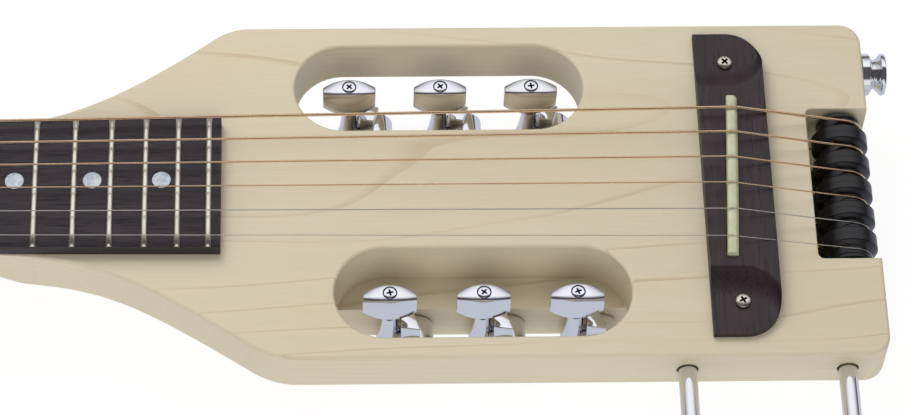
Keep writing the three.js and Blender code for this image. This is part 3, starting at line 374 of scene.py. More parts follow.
def tidy(bm):
    """Merges doubled vertices, closes open ends and points every face outwards."""
    bmesh.ops.remove_doubles(bm, verts=bm.verts, dist=mm / 2000)
    bmesh.ops.holes_fill(bm, edges=[e for e in bm.edges if e.is_boundary])
    bmesh.ops.recalc_face_normals(bm, faces=bm.faces)
    return bm


def turned(profile, axis, centre, steps=64):
    """Spins a profile of (radius, distance along the axis) pairs into a closed turned part."""
    bm = bmesh.new()
    verts = [bm.verts.new((radius, 0, along)) for radius, along in profile]
    edges = [bm.edges.new(pair) for pair in zip(verts, verts[1:])]
    bmesh.ops.spin(bm, geom=verts + edges, cent=(0, 0, 0), axis=UP, angle=2 * math.pi,
                   steps=steps, use_merge=True)
    tidy(bm)
    swing = Vector(UP).rotation_difference(Vector(axis)).to_matrix().to_4x4()
    bmesh.ops.transform(bm, matrix=Matrix.Translation(centre) @ swing, verts=bm.verts)
    return bm


def bar(axis, radius, start, end, centre=(0, 0, 0), steps=32):
    """A plain round bar, used as a cutting shape and for shanks."""
    return turned([(0, start), (radius, start), (radius, end), (0, end)], axis, centre, steps)


def rounded_bar(radius, start, end, rim, axis, centre, steps=64):
    """A bar whose rims are rounded over."""
    profile = [(radius - rim * (1 - s), start + rim * (1 - c)) for c, s in quarter(4)]
    profile += [(radius - rim * (1 - c), end - rim * (1 - s)) for c, s in quarter(4)]
    return turned([(0, start)] + profile + [(0, end)], axis, centre, steps)


def loft(rings):
    """Draws a first ring of points, extrudes it to each of the others in turn, and closes both ends."""
    bm = bmesh.new()
    verts = [bm.verts.new(point) for point in rings[0]]
    edges = [bm.edges.new(pair) for pair in zip(verts, verts[1:] + verts[:1])]
    for ring in rings[1:]:
        grown = bmesh.ops.extrude_edge_only(bm, edges=edges)
        fresh = set(new_verts(grown))
        verts = [next(e.other_vert(v) for e in v.link_edges if e.other_vert(v) in fresh) for v in verts]
        edges = [e for e in grown["geom"] if isinstance(e, bmesh.types.BMEdge) and fresh.issuperset(e.verts)]
        for vert, point in zip(verts, ring):
            vert.co = point
    return tidy(bm)


def plate(outline, low, high):
    """A face from an outline of (x, y) pairs, pushed up from one height to another."""
    return loft([[(x, y, z) for x, y in outline] for z in (low, high)])


def block(x0, x1, y0, y1, z0, z1):
    bm = bmesh.new()
    bmesh.ops.create_cube(bm, size=1)
    bmesh.ops.scale(bm, vec=(x1 - x0, y1 - y0, z1 - z0), verts=bm.verts)
    bmesh.ops.translate(bm, vec=((x0 + x1) / 2, (y0 + y1) / 2, (z0 + z1) / 2), verts=bm.verts)
    return bm


def rounded(x0, x1, y0, y1, radius, grow=0, steps=12):
    """The outline of a rectangle with round corners, grown all round."""
    left, right, low, high = x0 + radius, x1 - radius, y0 + radius, y1 - radius
    outline = []
    for corner, (x, y) in enumerate(((right, high), (left, high), (left, low), (right, low))):
        for c, s in quarter(steps, corner):
            point = Vector((x + (radius + grow) * c, y + (radius + grow) * s))
            if not outline or (point - outline[-1]).length > mm / 100:
                outline.append(point)
    if (outline[0] - outline[-1]).length < mm / 100:
        outline.pop()
    return outline


def flared(x0, x1, y0, y1, radius, low, high, rim, steps=12):
    """A cutting shape for an opening whose upper rim is rounded over."""
    levels = [(high - rim * (1 - s), rim * (1 - c)) for c, s in quarter(6)]
    levels = [(low, 0)] + levels + [(high + overrun, rim)]
    return loft([[(x, y, z) for x, y in rounded(x0, x1, y0, y1, radius, grow, steps)] for z, grow in levels])


def joined(parts):
    """Several shapes in one mesh."""
    whole = bmesh.new()
    for part in parts:
        mesh = bpy.data.meshes.new("part")
        part.to_mesh(mesh)
        part.free()
        whole.from_mesh(mesh)
        bpy.data.meshes.remove(mesh)
    return whole

# %% [markdown]
# ## From a shape to a finished piece
# A Boolean needs objects, so a shape becomes one first. The finished piece is shaded smooth with its sharp
# edges kept, gets its material, rides on its body and hides the plain node that it stands for. Some nodes
# have the right shape and only lack a softened edge: those are copied, merged and bevelled.

# %% Piece helpers
def shape(source, name="shape"):
    """A bmesh as an object. An object stays what it is."""
    if isinstance(source, bpy.types.Object):
        return source
    mesh = bpy.data.meshes.new(name)
    source.to_mesh(mesh)
    source.free()
    return new_object(name, mesh)


def combine(source, parts, operation):
    """Joins parts to a shape (UNION) or cuts them out of it (DIFFERENCE), and throws the parts away."""
    obj = shape(source)
    tools = [shape(part) for part in parts]
    group = bpy.data.collections.new("tools")
    bpy.context.scene.collection.children.link(group)
    for tool in tools:
        bpy.context.scene.collection.objects.unlink(tool)
        group.objects.link(tool)
    step = obj.modifiers.new("combine", "BOOLEAN")
    step.operation = operation
    step.solver = "EXACT"
    step.operand_type = "COLLECTION"
    step.collection = group
    graph = bpy.context.evaluated_depsgraph_get()
    made = bpy.data.meshes.new_from_object(obj.evaluated_get(graph), depsgraph=graph)
    obj.modifiers.clear()
    obj.data = made
    for tool in tools:
        bpy.data.objects.remove(tool)
    bpy.data.collections.remove(group)
    return obj


def sunken(obj, inside):
    """Gives the second material to the faces whose middle passes a test: the walls of a recess, where the
    second material paints shade.
    """
    for face in obj.data.polygons:
        face.material_index = int(inside(face.center))
    return obj


def finished(source, name, material, slot, node=None, body="guitar", smooth=32, second=None):
    """Shades a shape, gives it its material, joins it to its body and hides the node that it stands for."""
    obj = shape(source)
    obj.name = obj.data.name = name
    if obj.type == "MESH":
        obj.data.shade_smooth()
        obj.data.set_sharp_from_angle(angle=math.radians(smooth))
    sunk = [face.index for face in obj.data.polygons if face.material_index] if second else []
    obj.data.materials.clear()
    obj.data.materials.append(material)
    if second:
        obj.data.materials.append(second)
    for index in sunk:
        obj.data.polygons[index].material_index = 1
    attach(obj, body)
    if node:
        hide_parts(node)
    return obj


def softened(node):
    """A copy of a node's mesh with its corners merged, its flat faces whole and its edges eased."""
    bm = bmesh.new()
    bm.from_mesh(frame["nodes"][node].data)
    bmesh.ops.remove_doubles(bm, verts=bm.verts, dist=mm / 1000)
    bmesh.ops.dissolve_limit(bm, angle_limit=math.radians(2), verts=bm.verts, edges=bm.edges)
    return ease(bm, 0.3 * mm, 2, 25)

# %% [markdown]
# ## The outline of the body
# Seen from the front, the neck's edge flares into a sloping shoulder, and a round corner turns that into the
# straight side. The treble shoulder is set further back and its corner is rounder. One Bezier and one arc draw
# each, with enough points that no facet shows.

# %% Body outline
wing_thickness = 19.7 * mm
spine_half = 35.8 * mm
shoulder_start_x = -121.6 * mm
# Each side's shoulder: where its curve leaves the neck, how far its two handles reach, its slope, the radius of
# its round corner and where it reaches the full width.
shoulder_shapes = {
    1: (-121.6 * mm, 41.5 * mm, 55.5 * mm, math.radians(37.4), 19.5 * mm, -6 * mm),
    -1: (-112.5 * mm, 53 * mm, 57 * mm, math.radians(34), 27.7 * mm, 11 * mm),
}
blend_length = 42 * mm
wing_x = shoulder_start_x + blend_length
wing_z = front_z - wing_thickness
edge_round = 1.6 * mm
tail_corner = 7.5 * mm
board_slope = (board_high.y - nut_half) / (board_high.x - nut_x)


def board_half(x):
    return nut_half + board_slope * (x - nut_x)


def shoulder_line(side):
    """Points (x, distance from the centre line) from the neck's edge to the full width."""
    start_x, lead, pull, slope, radius, full_x = shoulder_shapes[side]

    def corner(angle):
        return Vector((full_x - radius * math.sin(angle), half_body - radius * (1 - math.cos(angle))))

    start, end = Vector((start_x, board_half(start_x))), corner(slope)
    first = start + Vector((1, board_slope)) * lead
    second = end - Vector((math.cos(slope), math.sin(slope))) * pull
    line = []
    for t in shares(48):
        s = 1 - t
        line.append(start * s ** 3 + first * 3 * s * s * t + second * 3 * s * t * t + end * t ** 3)
    return line + [corner(slope * (1 - t)) for t in shares(20, 1)]


shoulders = {side: shoulder_line(side) for side in (1, -1)}


def half_width(x, side):
    """The wood's reach from the centre line at x, on the bass (1) or the treble side (-1)."""
    line = shoulders[side]
    if x <= line[0].x:
        return board_half(x)
    for a, b in zip(line, line[1:]):
        if x <= b.x:
            return mixed(a.y, b.y, (x - a.x) / (b.x - a.x))
    return half_body


print("full width from", [round(shoulder_shapes[side][-1] / mm, 1) for side in (1, -1)], "mm, bass and treble")

# %% [markdown]
# ## Neck and body, one piece of maple
# The real one is sawn and carved from a single blank, and no joint shows. Here three simple forms are joined.
# The first is the neck: a row of rounded sections, which grow square where they reach the body.

# %% The neck
neck_depth_nut = 14 * mm
neck_depth_heel = 16.5 * mm
neck_edge = 3 * mm
nut_thickness = 4.8 * mm
nut_back_x = nut_x - nut_thickness
volute_x = nut_x + 3 * nut_thickness
head_half = 23.5 * mm
head_ease = 0.35 * mm
top_ease = edge_round / 20


def neck_ring(x, bass, treble, depth, corner=(1, 1), ease_by=top_ease):
    """One section of the neck: a flat top, eased edges, short straight sides and a round back. The corner is
    the share of the half width and of the depth that the rounding takes, 1 where the whole back is round."""
    power = 2 / mixed(2, 2.2, corner[0])

    def side(half):
        wide = mixed(edge_round, half, corner[0])
        deep = mixed(edge_round, depth - neck_edge, corner[1])
        points = [(half - ease_by, front_z), (half - ease_by * 0.3, front_z - ease_by * 0.3)]
        for c, s in quarter(16)[:-1]:
            points.append((half - wide * (1 - c ** power), front_z - depth + deep * (1 - s ** power)))
        return points

    treble_side = [(-y, z) for y, z in reversed(side(treble))]
    return [(x, y, z) for y, z in side(bass) + [(0, front_z - depth)] + treble_side]


def neck():
    slim = head_half - head_ease
    rings = [neck_ring(head_x, slim, slim, neck_depth_heel - head_ease)]
    for x in (head_x + head_ease, nut_back_x - nut_thickness, nut_back_x):
        rings.append(neck_ring(x, head_half, head_half, neck_depth_heel))
    for share in shares(8, 1):
        x, t = mixed(nut_back_x, volute_x, share), smooth_step(share)
        half = mixed(head_half, board_half(x), t)
        rings.append(neck_ring(x, half, half, mixed(neck_depth_heel, neck_depth_nut, t)))
    for share in shares(10, 1)[:-1]:
        x = mixed(volute_x, shoulder_start_x, share)
        rings.append(neck_ring(x, board_half(x), board_half(x), mixed(neck_depth_nut, neck_depth_heel, share)))
    blend_steps = 28
    for i in range(blend_steps + 2):
        share = i / blend_steps
        x, t = shoulder_start_x + blend_length * share, smooth_step(share)
        early = min(share / 0.9, 1)
        corner = (1 - smooth_step(early), 1 - early ** 3)
        depth = mixed(neck_depth_heel, wing_thickness, t)
        halves = (half_width(x, 1), half_width(x, -1))
        rings.append(neck_ring(x, *halves, depth, corner, mixed(top_ease, edge_round, t)))
    return loft(rings)


print("neck from", round(head_x / mm, 1), "to", round(wing_x / mm, 1), "mm")

# %% [markdown]
# ## Wings and spine
# The second form is a flat plate for the wings, and the third is the deep spine behind it. The spine's head end
# sweeps up into the heel, so each of its rings is set forward a little further than the one behind it.

# %% Wings and spine
heel_flat_x = -49 * mm
heel_rise = 20 * mm
heel_corner = 34 * mm


def wings():
    """The plate from the end of the blend to the tail, with its front and back edges rounded."""
    bass, treble = ([p for p in shoulders[side] if p.x > wing_x] for side in (1, -1))
    outline = [(wing_x, -half_width(wing_x, -1))] + [(p.x, -p.y) for p in treble]
    middle_x, middle_y = tail_x - tail_corner, half_body - tail_corner
    for side in (-1, 1):
        for c, s in quarter(14, min(side, 0)):
            outline.append((middle_x + tail_corner * c, side * middle_y + tail_corner * s))
    outline += [(p.x, p.y) for p in reversed(bass)] + [(wing_x, half_width(wing_x, 1))]
    return ease(plate(outline, wing_z, front_z), edge_round, 5, 60)


def spine():
    """The deep middle behind the wings, whose head end sweeps up into the heel."""
    rise = wing_z + edge_round

    def ring(z, inset):
        lift = min(z / rise, 1)
        head = heel_flat_x - heel_rise * (1 - math.sqrt(1 - lift * lift)) + inset
        half = spine_half - inset
        points = [(tail_x - inset, -half, z), (tail_x - inset, half, z)]
        middle_x, middle_y = head + heel_corner, half - heel_corner
        for side in (1, -1):
            for c, s in quarter(12, 1 + (side < 0)):
                points.append((middle_x + heel_corner * c, side * middle_y + heel_corner * s, z))
        return points

    rings = [ring(edge_round * (1 - c), edge_round * (1 - s)) for c, s in quarter(5)]
    return loft(rings + [ring(mixed(edge_round, rise, s), 0) for c, s in quarter(14, 0, 1)])


print("wings", round(wing_thickness / mm, 1), "mm thick, spine", round(front_z / mm, 1), "mm deep")

# %% [markdown]
# ## Cuts in the wood
# The slots, the tail notch, the string channel and the holes are cut out of all three forms at once. The rims
# of the slots are rounded over by the shape of their cutters, because a bevel added later would break at the
# corners.

# %% Cuts in the wood
slot_length = 100.4 * mm
slot_width = 34.3 * mm
slot_middle_y = 40.85 * mm
slot_y = 41.2 * mm  # the tuners' line
slot_x = {1: 60.2 * mm, -1: 73.3 * mm}
slot_rim = 1.2 * mm
ledge_z = front_z - 21.5 * mm
head_step = 2.5 * mm  # how far the head lies below the front
channel_head_x = 20 * mm
channel_half, channel_roof = 31.05 * mm, 17 * mm
groove_half, groove_roof = 20 * mm, 25 * mm
ramp_roof = 29 * mm
ramp_setback = 3.5 * mm
channel_corner = 6 * mm
notch_x = scale_x + 30.6 * mm
notch_wall = {1: 30.8 * mm, -1: 29.1 * mm}
notch_corner = 2.2 * mm
notch_rim = 0.5 * mm
axle_low, axle_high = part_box("pulley_axle")
axle_centre = (axle_low + axle_high) / 2
axle_radius = (axle_high.x - axle_low.x) / 2
shaft_x = {n: sum(corner.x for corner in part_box(f"tuner_button_{n}")) / 2 for n in numbers}
post_x = {n: shaft_x[n] + 8 * mm for n in numbers}
worm_z = 9 * mm
bush_radius = 4 * mm
rest_radius = 3.175 * mm
rest_hole = 3.75 * mm
rest_low, rest_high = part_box("lap_rest")
rest_z = (rest_low.z + rest_high.z) / 2
rest_legs_x = (rest_low.x + rest_radius, rest_high.x - rest_radius)
jack_hole = 5.3 * mm
jack_low, jack_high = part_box("end_pin_jack")
jack_y, jack_z = (jack_low.y + jack_high.y) / 2, (jack_low.z + jack_high.z) / 2


def cuts():
    floor = -overrun
    head_top = (front_z - head_step, front_z + overrun)
    yield block(head_x - overrun, nut_back_x - gap, -half_body, half_body, *head_top)
    for side in (1, -1):
        slot_end = slot_x[side] + slot_length / 2
        y = side * slot_middle_y
        ends = (slot_x[side] - slot_length / 2, slot_end, y - slot_width / 2, y + slot_width / 2)
        yield flared(*ends, slot_width / 2, ledge_z, front_z, slot_rim, 24)
        ramp = (slot_end + ramp_setback, notch_x + notch_corner + overrun)
        yield block(*ramp, *span(-side * overrun, side * channel_half), floor, ramp_roof)
        seat = span(side * (axle_high.y + gap), side * (notch_wall[side] - overrun))
        hole = axle_radius + gap
        yield bar(ACROSS, hole, *seat, (axle_centre.x, 0, axle_centre.z))
        yield block(axle_centre.x - hole, axle_centre.x + hole, *seat, floor, axle_centre.z)
    for half, roof in ((groove_half, groove_roof), (channel_half, channel_roof)):
        yield plate(rounded(channel_head_x, notch_x, -half, half, channel_corner), floor, roof)
    notch = (notch_x, tail_x + notch_corner + overrun, -notch_wall[-1], notch_wall[1])
    yield flared(*notch, notch_corner, floor, front_z, notch_rim, 8)
    for n in numbers:
        ends = span(key_side[n] * (channel_half - overrun), key_side[n] * (spine_half + overrun))
        yield bar(ACROSS, bush_radius + gap, *ends, (post_x[n], 0, worm_z))
    for x in rest_legs_x:
        yield bar(ACROSS, rest_hole, -half_body - overrun, rest_high.y + gap, (x, 0, rest_z))
    yield bar(ALONG, jack_hole, jack_low.x - gap, tail_x + overrun, (0, jack_y, jack_z))


body = combine(combine(neck(), [wings(), spine()], "UNION"), cuts(), "DIFFERENCE")
finished(body, "maple_neck_and_body", satin_maple, "maple", "neck_and_body", smooth=28)
even = body.modifiers.new("even_shading", "WEIGHTED_NORMAL")
even.keep_sharp = True
print("neck and body:", len(body.data.polygons), "faces")

# %% [markdown]
# ## Fingerboard, frets and dots
# The board is a long taper with a gently rounded face. Twenty-two frets stand in it, each a T-shaped wire: the
# crown shows on top and is filed off at a slope at both ends. The frets' places follow one rule, each step a
# twelfth root of two, so a loop makes them all. Pearl dots mark the usual frets.

# %% Fingerboard
board_thickness = 6.4 * mm
board_radius = 304.8 * mm
fret_width = 2.2 * mm
fret_crown = 1.1 * mm
fret_count = 22
marked_frets = (3, 5, 7, 9, 12, 15, 17, 19, 21)
dot_radius = 3.175 * mm
dot_rise, dot_inset, dot_rim = 0.06 * mm, 0.06 * mm, 0.05 * mm
twin_dots_y = 14 * mm


def fret_x(number):
    return scale_x - scale_length * 2 ** (-number / 12)


def board_drop(y):
    return board_radius - math.sqrt(board_radius ** 2 - y * y)


def board_top(y):
    return front_z + board_thickness - board_drop(y)


def board():
    rings = []
    for x in (nut_x + gap, board_high.x):
        half = board_half(x)
        face = [(x, half * (1 - 2 * share), board_top(half * (1 - 2 * share))) for share in shares(24)]
        rings.append(face + [(x, -half, front_z), (x, half, front_z)])
    return ease(loft(rings), 0.3 * mm, 2, 50)


def fret(number):
    """One fret: rings from end to end, low at both ends where the wire is filed off at a slope."""
    x = fret_x(number)
    half = board_half(x) - 0.1 * mm
    filed = 1.1 * mm
    stations = [-half, -half + filed] + [half * (i / 5 - 1) for i in range(1, 10)] + [half - filed, half]
    rings = []
    for y in stations:
        crown = fret_crown * (0.15 if abs(y) > half - filed / 2 else 1)
        foot, low = board_top(y) - 0.2 * mm, board_top(y) + 0.05 * mm
        ring = [(x - fret_width / 2, y, foot)]
        for share in shares(10):
            angle = math.pi * (1 - share)
            ring.append((x + fret_width / 2 * math.cos(angle), y, low + crown * math.sin(angle)))
        rings.append(ring + [(x + fret_width / 2, y, foot)])
    return loft(rings)


def dot(x, y):
    top = board_top(y) + dot_rise
    edge = [(dot_radius, top - mm), (dot_radius, top - dot_rim), (dot_radius - dot_inset, top)]
    return turned([(0, top - mm)] + edge + [(0, top)], UP, (x, y, 0), 40)


def dots():
    for number in marked_frets:
        for y in (-twin_dots_y, twin_dots_y) if number == 12 else (0,):
            yield dot((fret_x(number - 1) + fret_x(number)) / 2, y)


finished(board(), "dark_fingerboard", board_wood, "dark_wood", "fingerboard")
finished(joined(fret(n) for n in range(1, fret_count + 1)), "frets", nickel, "steel", smooth=50)
finished(joined(dots()), "pearl_dots", pearl, "bone")
finished(softened("nut"), "bone_nut", bone, "bone", "nut")
print("last fret at", round(fret_x(fret_count) / mm, 1), "mm")

# %% [markdown]
# ## The bridge
# The bridge is a bar that lies across the body, square on the head side and round at its two tail corners. A
# curved scoop thins each end, and its edge sweeps towards the tail. That surface is a height for each place,
# so a grid is laid out over the bar, with its rows close together round the corners, and each vertex is lifted
# to its height.

# %% The bridge
bridge_low, bridge_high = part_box("bridge")
bridge_y = (bridge_low.y + bridge_high.y) / 2
bridge_half = (bridge_high.y - bridge_low.y) / 2
bridge_corner = 12 * mm
bridge_middle, bridge_end = bridge_high.z - front_z, 2.4 * mm
scoop_head, scoop_sweep, scoop_run = 36.2 * mm, 10.5 * mm, 10 * mm
scoop_turn = 0.42  # the share of the bridge's width at which the scoop's edge starts to sweep


def bridge_height(across, y):
    """How high the bridge stands: across runs from 0 at its head side to 1 at its tail side."""
    swept = min(max(across - scoop_turn, 0) / (1 - scoop_turn), 1)
    past = (abs(y) - scoop_head - scoop_sweep * (1 - math.sqrt(1 - swept * swept))) / scoop_run
    return mixed(bridge_end, bridge_middle, (1 - clamped(past)) ** 2)


def bridge_rows():
    """Places along the bridge: even in the middle, and even steps of angle round the two corners."""
    straight = bridge_half - bridge_corner
    round_rows = [straight + bridge_corner * s for c, s in quarter(20, 0, 1)]
    middle_rows = [straight * (2 * share - 1) for share in shares(150)]
    return [-y for y in reversed(round_rows)] + middle_rows + round_rows


def bridge():
    bm = bmesh.new()
    rows = bridge_rows()
    last = len(rows) - 1
    bmesh.ops.create_grid(bm, x_segments=36, y_segments=last, size=0.5)
    for vert in bm.verts:
        across, y = vert.co.x + 0.5, rows[round((vert.co.y + 0.5) * last)]
        into = max(bridge_corner - (bridge_half - abs(y)), 0)
        tail = bridge_high.x - bridge_corner + math.sqrt(max(bridge_corner ** 2 - into ** 2, 0))
        vert.co = (mixed(bridge_low.x, tail, across), bridge_y + y, front_z + bridge_height(across, y))
    for vert in new_verts(bmesh.ops.extrude_edge_only(bm, edges=[e for e in bm.edges if e.is_boundary])):
        vert.co.z = front_z
    return ease(tidy(bm), 0.7 * mm, 3, 50, front_z + mm)


print("bridge:", round(2 * bridge_half / mm, 1), "mm long")

# %% [markdown]
# ## The saddle
# The saddle is a narrow bar in a slot of the bridge. Its rounded crest lies a little ahead of its middle, and
# each string lies in a groove of its own width. One section is drawn along its length, and thin bars cut the
# grooves.

# %% The saddle
saddle_low, saddle_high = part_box("saddle")
saddle_x = (saddle_low.x + saddle_high.x) / 2
saddle_skew = math.radians(3.2)
saddle_half = 31.4 * mm
saddle_foot = 3.6 * mm  # above the front
saddle_rise = 10.4 * mm  # the crest above the front
end_share, end_drop = 0.03, 0.5 * mm  # how the crest falls at both ends
seat_half_width, seat_half_length, seat_corner = 2.2 * mm, 32.2 * mm, 1.4 * mm
seat_floor, seat_top = 2 * mm, 9 * mm  # above the front
groove_play, groove_sink = 0.25 * mm, 0.2 * mm
groove_head, groove_tail = -4 * mm, 5 * mm  # its ends, from the saddle's middle
string_diameters = [d * mm for d in (0.3, 0.4, 0.5, 0.66, 0.86, 1.08)]
pitch_tail = 10.2 * mm
# The saddle's section, as x and the depth below the crest, in millimetres
crest_profile = ((-1.9, 8), (-1.9, 0.6), (-1.75, 0.3), (-1.4, 0.1), (-0.8, 0), (0.2, 0.06), (0.8, 0.2),
                 (1.1, 0.45), (1.7, 1.2), (1.9, 1.6), (1.9, 8))


def at_saddle(bm):
    """Turns a shape made round the origin by the saddle's skew and moves it to the saddle's middle."""
    bmesh.ops.rotate(bm, cent=(0, 0, 0), matrix=Matrix.Rotation(-saddle_skew, 3, "Z"), verts=bm.verts)
    bmesh.ops.translate(bm, vec=(saddle_x, 0, 0), verts=bm.verts)
    return bm


def saddle_slot():
    ends = (-seat_half_width, seat_half_width, -seat_half_length, seat_half_length)
    return at_saddle(plate(rounded(*ends, seat_corner, 0, 6), front_z + seat_floor, front_z + seat_top))


def saddle():
    """The saddle's section drawn along its length and lowered at both ends."""
    rings = []
    for share in shares(40):
        y = saddle_half * (2 * share - 1)
        drop = end_drop * max(abs(y) / saddle_half - (1 - end_share), 0) / end_share
        crest = front_z + saddle_rise - board_drop(y) - drop
        rings.append([(x * mm, y, max(crest - down * mm, front_z + saddle_foot)) for x, down in crest_profile])
    return at_saddle(loft(rings))


def string_grooves():
    for n in numbers:
        radius = string_diameters[n - 1] / 2 + groove_play
        y = pitch_tail * (n - 3.5)
        centre = (0, y, front_z + saddle_rise - board_drop(y) + radius)
        yield bar(ALONG, radius + groove_sink, saddle_x + groove_head, saddle_x + groove_tail, centre, 16)


bridge_piece = combine(bridge(), [saddle_slot()], "DIFFERENCE")
finished(bridge_piece, "dark_bridge", bridge_wood, "dark_wood", "bridge", smooth=40)
finished(combine(saddle(), string_grooves(), "DIFFERENCE"), "bone_saddle", bone, "bone", "saddle", smooth=50)
print("bridge:", len(bridge_piece.data.polygons), "faces")

# %% [markdown]
# ## Screws with crossed recesses
# Ten small screws show their heads: two in the bridge, two in the comb and one on top of each tuner button. A
# head is a low dome with two tapered bars cut out of it, and the walls of that recess get a darker metal:
# painted shade, standing for the light that doesn't reach into it. Each is made at the origin, turned a little
# differently, as a hand leaves it, and then moved to its place.

# %% Screws
wood_screw = (2.7 * mm, 1.2 * mm)  # a head's radius and height
shank_radius, tip_radius = 1.5 * mm, 0.6 * mm
tip_length, taper_length = 1.2 * mm, 4 * mm
head_under = -0.02 * mm
stub_radius, stub_foot, stub_under = 1.6 * mm, -1.2 * mm, -0.4 * mm  # the short screw in a button
recess_floor = -0.5 * mm


def screw(name, place, head, shank, turn, material, node=None, body="guitar"):
    radius, height = head
    if shank:
        dome = [(0, -shank), (tip_radius, -shank + tip_length), (shank_radius, -shank + taper_length),
                (shank_radius, head_under), (radius, head_under)]
    else:
        dome = [(0, stub_foot), (stub_radius, stub_foot), (stub_radius, stub_under), (radius, stub_under)]
    lip = height * 0.35
    dome.append((radius, lip * 0.6))
    dome += [(radius * 0.97 * c ** 0.8, lip + (height - lip) * s) for c, s in quarter(8)]
    arm, half = radius * 0.66, radius * 0.15
    bars = [block(-arm, arm, -half, half, recess_floor, height * 2) for quarter_turn in (0, 1)]
    for quarter_turn, bm in enumerate(bars):
        for vert in bm.verts:
            if vert.co.z < 0:
                vert.co.x *= 0.5
        spin = Matrix.Rotation(turn + quarter_turn * math.pi / 2, 3, "Z")
        bmesh.ops.rotate(bm, cent=(0, 0, 0), matrix=spin, verts=bm.verts)
    piece = combine(turned(dome, UP, (0, 0, 0), 40), bars, "DIFFERENCE")
    # The recess walls get the dark metal, a painted shade
    sunken(piece, lambda middle: middle.xy.length < arm and recess_floor - mm / 100 < middle.z < height * 0.75)
    piece.data.transform(Matrix.Translation(place))
    finished(piece, name, material, "chrome", node, body, 40, painted_recess_shade)


for end, turn in (("bass", 0.75), ("treble", 0.5)):
    for kind, shank in (("bridge", 15 * mm), ("comb", 9 * mm)):
        low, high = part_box(f"{kind}_screw_{end}")
        place = Vector(((low.x + high.x) / 2, (low.y + high.y) / 2, high.z - 1.5 * mm))
        screw(f"{kind}_screw_head_{end}", place, wood_screw, shank, turn, screw_nickel, f"{kind}_screw_{end}")
print("wood screws: 4, heads", round(2 * wood_screw[0] / mm, 1), "mm across")

# %% [markdown]
# ## Tuner buttons
# A key is a button on a shaft. The button is a lens seen from above, with a crowned top and a foot that hangs
# in an arc, so its sections shrink towards both ends. A seat for its screw is cut in the top, and its walls get
# the darker metal as painted shade round the screw.

# %% Tuner buttons
button_half = 9.2 * mm
button_thick, button_thin = 6.4 * mm, 2.8 * mm
button_crown, crown_rise = 2.4 * mm, 0.35 * mm
button_foot, button_side = 14.4 * mm, 11.7 * mm  # below the front
screw_seat, seat_radius = 0.55 * mm, 2.5 * mm
button_screw = (2.25 * mm, 0.55 * mm)
screw_turns = (0.35, 0.9, 0.2, 0.85, 0.6, 0.15)


def button_section(share):
    """The button's section at a share of its half length, as (y, z) pairs round it."""
    thick = mixed(button_thick, button_thin, share * share) / 2
    top = -button_crown * share * share - crown_rise
    low = mixed(-button_foot, -button_side, share * share)
    section = []
    for t in shares(8):
        s = 2 * t - 1
        section.append((thick * s, top + crown_rise * (1 - s * s)))
    waist = mixed(top, low, 0.5)
    return section + [(thick * 0.92, waist), (thick * 0.84, low), (0, low - 0.1 * mm), (-thick * 0.84, low),
                      (-thick * 0.92, waist)]


def button(n):
    x, y = shaft_x[n], key_side[n] * slot_y
    rings = []
    for t in shares(28):
        share = 2 * t - 1
        rings.append([(x + button_half * share, y + out, front_z + z) for out, z in button_section(share)])
    seat = bar(UP, seat_radius, front_z - screw_seat, front_z + overrun, (x, y, 0))
    blank = combine(ease(loft(rings), 0.24 * mm, 3, 40), [seat], "DIFFERENCE")
    reach, low, high = seat_radius + mm / 100, front_z - screw_seat - mm / 100, front_z - 0.1 * mm
    # The seat's walls get the dark metal, a painted shade in the gap round the screw
    return sunken(blank, lambda middle: (middle.xy - Vector((x, y))).length < reach and low < middle.z < high)


print("buttons", round(2 * button_half / mm, 1), "mm wide")

# %% [markdown]
# ## Worms and shafts
# The shaft carries a worm at its lower end: a tooth swept up and round the shaft by a spin that climbs as it
# turns. The worm turns the gear on a string post, and the gear can't turn the worm, so the string stays tuned.

# %% Worms and shafts
shaft_radius, worm_root, worm_tip = 2 * mm, 1.45 * mm, 3.1 * mm
shaft_foot = 3 * mm
button_bore = 7.4 * mm
worm_pitch = math.pi * 0.8 * mm
worm_turns = 2.5
worm_length = worm_turns * worm_pitch


def shaft(n):
    centre = (shaft_x[n], key_side[n] * slot_y, 0)
    step = worm_z + (worm_length + worm_root) / 2
    top = front_z - button_foot + button_bore
    profile = [(0, shaft_foot), (worm_root, shaft_foot), (worm_root, step), (shaft_radius, step)]
    stem = turned(profile + [(shaft_radius, top), (0, top)], UP, centre, 48)
    thread = bmesh.new()
    start = worm_z - worm_length / 2
    tooth = [(worm_root * 0.75, -0.72), (worm_tip, -0.3), (worm_tip, 0.3), (worm_root * 0.75, 0.72)]
    verts = [thread.verts.new((-radius, 0, start + rise * mm)) for radius, rise in tooth]
    edges = [thread.edges.new(pair) for pair in zip(verts, verts[1:] + verts[:1])]
    steps = int(worm_turns * 32)
    bmesh.ops.spin(thread, geom=verts + edges, cent=(0, 0, 0), axis=UP, angle=2 * math.pi * worm_turns,
                   dvec=(0, 0, worm_length / steps), steps=steps)
    tidy(thread)
    bmesh.ops.translate(thread, vec=centre, verts=thread.verts)
    return joined([stem, thread])


for n, turn in zip(numbers, screw_turns):
    key = f"tuner_key_{n}"
    finished(button(n), f"crowned_button_{n}", chrome, "chrome", f"tuner_button_{n}", key, 38, painted_recess_shade)
    finished(shaft(n), f"worm_and_shaft_{n}", chrome, "chrome", f"tuner_worm_shaft_{n}", key, 40)
    place = Vector((shaft_x[n], key_side[n] * slot_y, front_z - screw_seat + 0.05 * mm))
    screw(f"button_screw_{n}", place, button_screw, 0, turn, chrome, body=key)
print("tuner keys:", len(shaft_x))

# %% [markdown]
# ## Tuner housings, posts and nuts
# A housing is cast and polished: a bell round the shaft, a drum round the gear with a flat-topped tower on it,
# and a threaded bush that goes through the wall of the spine. The post turns in the bush, with its gear in the
# drum. A hex nut holds all that from inside the string channel. The housing is solid forms joined, then
# hollowed.

